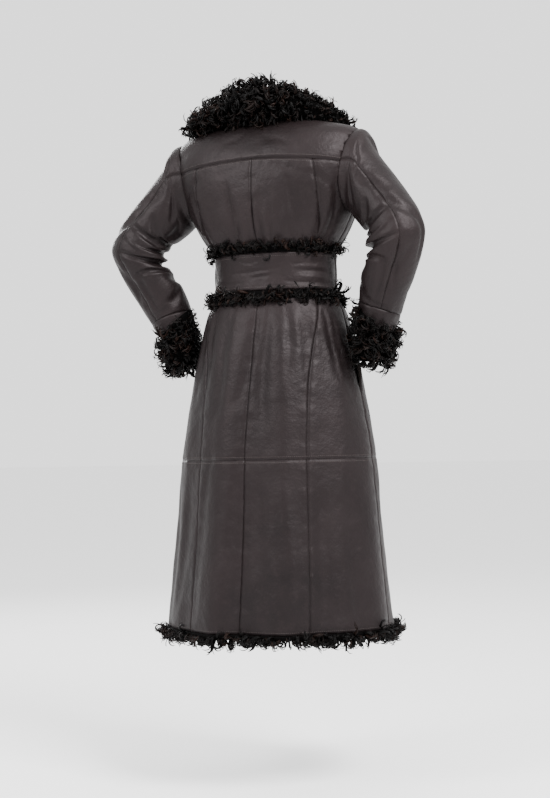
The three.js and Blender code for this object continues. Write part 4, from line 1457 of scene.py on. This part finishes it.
def growFur(name, bed, look, seed, keep=1):
    # A plain mesh of locks grown from a bed; keep weighs the cover of each vertex, for pieces of one bed.
    grower = addObject(name + "_roots", bed.data.copy())
    cover = grower.data.attributes["cover"].data
    values = np.empty(len(cover))
    cover.foreach_get("value", values)
    cover.foreach_set("value", values * keep)
    given = {"Locks": curlKinds, "Seed": seed, "Finish": curlyFur}
    given |= {"Density": look["density"], "Size": look["size"], "Unruly": look["unruly"]}
    mesh = treeMesh(grower, furLocks, given)
    mesh.name = name
    for note in bedNotes:
        if note in mesh.attributes:
            mesh.attributes.remove(mesh.attributes[note])
    made = addObject(name, mesh)
    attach(made, "root")


def furBedMesh(name, loops, closed, cover, comb, tall):
    # Bed of fur from loops of points (along, round, 3) in millimetres; a closed one joins its last loop to
    # the first.
    along, rounds = loops.shape[:2]
    index = np.arange(along * rounds).reshape(along, rounds)
    ahead = np.roll(index, -1, 0) if closed else index[1:]
    here = index if closed else index[:-1]
    quads = np.stack([here, np.roll(here, -1, 1), np.roll(ahead, -1, 1), ahead], -1).reshape(-1, 4)
    faces = [tuple(q) for q in quads.tolist()]
    if not closed:
        faces += [tuple(index[0, ::-1].tolist()), tuple(index[-1].tolist())]
    made = addMesh(name, loops.reshape(-1, 3), faces, [furBed])
    faceOutward(made)
    mesh = made.data
    for key, kind, values in (("cover", "FLOAT", cover), ("tall", "FLOAT", tall)):
        spot = mesh.attributes.new(key, kind, "POINT")
        spot.data.foreach_set("value", np.broadcast_to(values, (along, rounds)).reshape(-1).astype(float))
    spot = mesh.attributes.new("comb", "FLOAT_VECTOR", "POINT")
    spot.data.foreach_set("vector", np.broadcast_to(comb, (along, rounds, 3)).reshape(-1).astype(float))
    return made


def finishBed(bed, node):
    for note in bedNotes:
        bed.data.attributes.remove(bed.data.attributes[note])
    addPiece(bed, node)


# The collar's bed lies under the locks, a little in from the edges of its CAD form.
collarLook = {
    "stations": 121,
    "round": 22,
    "end": 9.85,  # last station, on both sides of centre back
    "drop": 17,  # the bed's crown under the fur's full height, and its sole over the coat
    "sole": 0.8,
    "inset": (0.07, 0.84),
    "marks": (0, 0.12, 0.4, 0.75, 1),  # shares of the width, and how far the crown leans toward upright there
    "leans": (0.95, 0.85, 0.6, 0.34, 0.12),
    "pull": 0.34,  # the wearer's right shoulder is drawn in
    "density": 23000,
    "size": 1.0,
    "unruly": 0.42,
    "fall": 0.62,
    "seed": 5,
}


def collarCrown(station, across):
    k = np.abs(station)
    side = np.where(station < 0, -1, 1)
    pulled = np.where(side < 0, softBump((k - 3.5) / 3.5), 0)
    neck, crest, rim = collar["neck"](k), collar["crest"](k), collar["rim"](k)
    marks, leans = collarLook["marks"], collarLook["leans"]
    heights = (neck, mix(neck, crest, 0.85), crest, mix(crest, rim, 0.4), rim)
    tall, lean = 0 * (k + across), 0 * (k + across)
    for i in range(len(marks) - 1):
        t = (across - marks[i]) / (marks[i + 1] - marks[i])
        here = (t >= 0) & (t <= 1)
        soft = np.clip(t, 0, 1)
        tall = np.where(here, mix(heights[i], heights[i + 1], soft), tall)
        lean = np.where(here, mix(leans[i], leans[i + 1], soft), lean)
    angle = side * mix(collar["inAngle"](k), collar["outAngle"](k), across)
    h = mix(collar["inH"](k), mix(collar["outH"](k), collar["inH"](k), 0.26 * pulled), across)
    upright = np.clip(1 - (k - 3.4) / 2.4, 0, 1)
    normal = bodyNormal(angle, h)
    up = np.zeros(normal.shape)
    up[..., 2] = 1
    way = unitVectors(mix(normal, up, (lean * upright)[..., None]))
    tall = np.maximum(tall * (1 - 0.1 * pulled) - collarLook["drop"], 0.38 * tall)
    return bodySurface(angle, h) + way * tall[..., None], angle, h


stations = np.linspace(-collarLook["end"], collarLook["end"], collarLook["stations"])[:, None]
low, high = collarLook["inset"]
pulledIn = np.maximum(softBump((stations + 3.4) / 3.2), softBump((stations + 5.4) / 3.4))
high = high - collarLook["pull"] * pulledIn
edge = np.linspace(0, 1, collarLook["round"])[None, :]
across = mix(low, high, edge)
crown, angle, h = collarCrown(stations + 0 * across, across)
sole = bodyPoint(angle, h, collarLook["sole"])[:, ::-1][:, 2:-2:2]
loops = np.concatenate([crown, sole], 1)
fall = unitVectors(np.gradient(crown, axis=1)) * collarLook["fall"]
fall = fall * (smoothStep(edge, 0.0, 0.35) * (1 - 0.6 * smoothStep(edge, 0.75, 1)))[..., None]
fall[..., 2] += 0.25 * (1 - edge) - 0.1
comb = np.concatenate([fall, np.zeros(sole.shape)], 1)
cover = np.zeros(loops.shape[:2])
cover[:, : collarLook["round"]] = 1
tall = mix(1.0, 0.78, smoothStep(np.abs(stations), 6, 9.5)) * (1 - 0.35 * pulledIn)
collarBed = furBedMesh("fur_bed_collar", loops, False, cover, comb, tall)
ofVertex = np.repeat(stations[:, 0], loops.shape[1])
for sign, word in ((1, "left"), (-1, "right")):
    keep = (sign * ofVertex >= 0).astype(float)
    growFur(f"fur_collar_{word}", collarBed, collarLook, collarLook["seed"] + sign, keep)
finishBed(collarBed, "collar")
print("collar fur grown")


def furStrip(name, outer, inner, closed, cover, comb, combInside, tall=1):
    # A bed with locks on its outer face only; the inner face is listed the other way round.
    rest = np.zeros(inner.shape)
    loops = np.concatenate([outer, inner[:, ::-1]], 1)
    combs = np.concatenate([comb + 0 * outer, combInside + rest], 1)
    covers = np.concatenate([cover + 0 * outer[..., 0], rest[..., 0]], 1)
    talls = np.concatenate([tall + 0 * outer[..., 0], 1 + rest[..., 0]], 1)
    return furBedMesh(name, loops, closed, covers, combs, talls)


# Turned-back cuffs of fur round the ends of the sleeves: thin toward the body, with the longest locks behind.
cuffLook = {
    "around": 65,
    "along": 13,
    "top": 11.07,  # ring of the cuff's upper edge, how far it rises and on which side of the arm
    "rise": 0.45,
    "riseAt": 205,
    "below": 0.36,  # rings past the end of the sleeve
    "bed": 0.3,  # the bed's share of the fur's thickness
    "body": (0.55, 0.42),  # cover and length of the locks that face the body
    "behind": (125, 62, 1.15),  # where the longest locks are, how far they reach round and their length
    "density": 21000,
    "size": 0.95,
    "unruly": 0.6,
    "comb": 0.4,
    "seed": 21,
}
around = np.linspace(0, 360, cuffLook["around"])[:, None][:-1]
v = np.linspace(0, 1, cuffLook["along"])[None, :]
top = cuffLook["top"] - cuffLook["rise"] * np.cos(np.radians(around - cuffLook["riseAt"]))
ring = mix(top, sleeve["end"] + cuffLook["below"], v)
facing = smoothStep(np.abs(turned(around - 180)), 35, 100)
bulge = np.sin(math.pi * np.clip(0.12 + 0.8 * v, 0, 1)) ** 0.5
thick = 0.6 + mix(sleeve["furBody"], sleeve["furThick"], facing) * bulge
outer = sleevePoint(around + 0 * v, ring, thick * cuffLook["bed"])
inner = sleevePoint(around + 0 * v, ring, 0.9)
comb = unitVectors(np.gradient(outer, axis=1)) * cuffLook["comb"]
bodyCover, bodyTall = cuffLook["body"]
at, wide, longest = cuffLook["behind"]
tall = np.maximum(mix(bodyTall, 1, facing), longest * softBump(turned(around - at) / wide))
for sign, word in ((1, "left"), (-1, "right")):
    flip = np.array([sign, 1, 1])
    name = f"fur_bed_cuff_{word}"
    bed = furStrip(name, outer * flip, inner * flip, True, mix(bodyCover, 1, facing), comb * flip, 0, tall)
    growFur(f"fur_cuff_{word}", bed, cuffLook, cuffLook["seed"] + sign)
    finishBed(bed, f"cuff_fur_{word}")
print("cuff fur grown")


# Strips of fur along the upper and lower edges of the belt.
beltFurLook = {
    "around": 181,
    "across": 9,
    "gap": 0.4,  # beside the belt's edge
    "topWide": 15,
    "bottomWide": 21,
    "bed": 0.22,  # the bed's share of the fur's height
    "density": 24000,
    "size": 0.92,
    "unruly": 0.8,
    "comb": 0.95,
    "seed": 31,
}
angle = np.linspace(0, 360, beltFurLook["around"])[:-1][:, None]
v = np.linspace(0, 1, beltFurLook["across"])[None, :]
height = 1.2 + 17 * np.sin(math.pi * mix(0.1, 0.9, v)) ** 0.6
for word, way in (("top", 1), ("bottom", -1)):
    edge = belt[word] + way * beltFurLook["gap"]
    far = edge + way * beltFurLook[f"{word}Wide"]
    h = mix(min(edge + way, far), max(edge + way, far), v)
    outer = bodyPoint(angle + 0 * v, h + 0 * angle, beltFurLook["bed"] * height + 0 * angle)
    inner = bodyPoint(angle + 0 * v, h + 0 * angle, 0.7)
    comb = np.array([0, 0, way * beltFurLook["comb"]])
    bed = furStrip(f"fur_bed_belt_{word}", outer, inner, True, 1, comb, comb)
    growFur(f"fur_belt_{word}", bed, beltFurLook, beltFurLook["seed"] + way)
    finishBed(bed, f"belt_fur_{word}")
print("belt fur grown")


# Fur showing below the hem, as the skin's wool rolls out under the leather.
hemFurLook = {
    "around": 161,
    "gap": 0.8,
    "outline": [
        (1.775, 0.4),
        (6, -2.6),
        (4.05, -9.2),
        (-1.5, -11.6),
        (-6.5, -9.2),
        (-8, -2),
        (-3.5, 0.4),
    ],
    "coverBelow": -1.5,
    "outward": 0.45,
    "down": 0.5,
    # Where the front that lies under leaves the ring, how far round, and the rise there.
    "step": (154, 15, 3.2),
    "density": 25000,
    "size": 0.85,
    "unruly": 0.7,
    "seed": 41,
}
angle = np.linspace(0, 360, hemFurLook["around"])[:-1][:, None]
h = -coat["length"] - hemFurLook["gap"] + 0 * angle
outline = np.repeat(np.array(hemFurLook["outline"]), 2, 0)
outline = (outline + np.roll(outline, -1, 0)) / 2
outward = unitVectors(bodyNormal(angle, h) * (1, 1, 0))
loops = bodySurface(angle, h) + outward * outline[None, :, :1]
at, wide, rise = hemFurLook["step"]
loops[..., 2] += outline[None, :, 1] + rise * softBump(turned(angle - at) / wide)
comb = hemFurLook["outward"] * outward + np.array([0, 0, -hemFurLook["down"]]) + 0 * loops
cover = np.where(outline[:, 1] < hemFurLook["coverBelow"], 1.0, 0.0)[None, :] + 0 * angle
bed = furBedMesh("fur_bed_hem", loops, True, cover, comb, 1)
growFur("fur_hem", bed, hemFurLook, hemFurLook["seed"])
finishBed(bed, "hem_fur")

# Fur along the edge of the front that lies on top.
frontFurLook = {
    "along": 121,
    "across": 9,
    "bottom": -1206,
    "top": -472,
    "half": 6.05,
    "height": (2.5, 4.0),
    "down": 0.4,
    "density": 22000,
    "size": 0.5,
    "unruly": 0.5,
    "seed": 51,
}
h = np.linspace(frontFurLook["bottom"], frontFurLook["top"], frontFurLook["along"])[:, None]
share = np.linspace(-1, 1, frontFurLook["across"])[None, :]
middle = -frontEdge(h)
angle = middle + degreesFor(frontFurLook["half"], middle, h) * share
low, crest = frontFurLook["height"]
outer = bodyPoint(angle, h + 0 * share, low + crest * np.cos(share * math.pi / 2) ** 0.6 + 0 * h)
inner = bodyPoint(angle, h + 0 * share, 0.9)
comb = np.array([0, 0, -frontFurLook["down"]])
bed = furStrip("fur_bed_front", outer, inner, False, 1, comb, comb)
growFur("fur_front", bed, frontFurLook, frontFurLook["seed"])
finishBed(bed, "front_fur")
print("hem and front fur grown")

for made in list(curlKinds.objects):
    removeObject(made)
bpy.data.collections.remove(curlKinds)


# Floor and light, in metres: where each lamp stands, the height it aims at, its size and its power.
stageLook = {
    "floor": -1.588,
    "half": 40,
    "white": 0.93,
    "roughness": 0.9,
    "world": 1.85,
    "lamps": {
        "key_light": ((-2.4, 1.5, 2.0), -0.1, (1.4, 1.4), 320),
        "fill_light": ((1.5, 2.6, 1.4), -0.3, (1.2, 1.6), 115),
        "back_light": ((2.8, -2.6, 1.4), -0.6, (1.2, 2.2), 110),
    },
}
half, white = stageLook["half"], stageLook["white"]
floorMesh = bpy.data.meshes.new("floor")
corners = [(-half, -half, 0), (half, -half, 0), (half, half, 0), (-half, half, 0)]
floorMesh.from_pydata(corners, [], [(0, 1, 2, 3)])
floor = addObject("floor", floorMesh)
floor.location.z = stageLook["floor"]
paleFloor = Finish("paleFloor")
floorMesh.materials.append(
    paleFloor.finish(Base_Color=(white, white, white, 1), Roughness=stageLook["roughness"])
)

world = bpy.data.worlds.new("studio")
world.use_nodes = True
sky = world.node_tree.nodes["Background"].inputs
sky["Color"].default_value = (1, 1, 1, 1)
sky["Strength"].default_value = stageLook["world"]
bpy.context.scene.world = world
for name, (place, aim, size, power) in stageLook["lamps"].items():
    light = bpy.data.lights.new(name, "AREA")
    light.shape, light.size, light.size_y, light.energy = "RECTANGLE", *size, power
    lamp = addObject(name, light)
    lamp.location = place
    lamp.rotation_euler = (Vector((0, 0, aim)) - Vector(place)).to_track_quat("-Z", "Y").to_euler()

# The camera: where it stands, the level way it looks, and its small turns from that, in radians.
cameraLook = {
    "place": (-1.561, 3.683, -0.76),
    "heading": (0.39, -0.92),
    "turns": (0.00212, math.radians(1.247), 0.021),  # to the left, upward and round its own axis
    "lens": 74.57,
    "sensor": 36,
}
lens = bpy.data.cameras.new("photo_view")
lens.lens, lens.sensor_width, lens.sensor_fit = cameraLook["lens"], cameraLook["sensor"], "AUTO"
camera = addObject("photo_view", lens)
x, y = cameraLook["heading"]
yaw, pitch, roll = cameraLook["turns"]
upright = Vector((0, 0, 1))
forward = Vector((x, y, 0)).normalized() * math.cos(yaw) - Vector((y, -x, 0)).normalized() * math.sin(yaw)
forward.normalize()
right = forward.cross(upright).normalized()
forward = (forward * math.cos(pitch) + upright * math.sin(pitch)).normalized()
up = right.cross(forward).normalized()
across, over = right * math.cos(roll) - up * math.sin(roll), up * math.cos(roll) + right * math.sin(roll)
rows = [(a, b, -c, d) for a, b, c, d in zip(across, over, forward, cameraLook["place"])]
camera.matrix_world = Matrix((*rows, (0, 0, 0, 1)))
bpy.context.scene.camera = camera
print("stage and camera set")
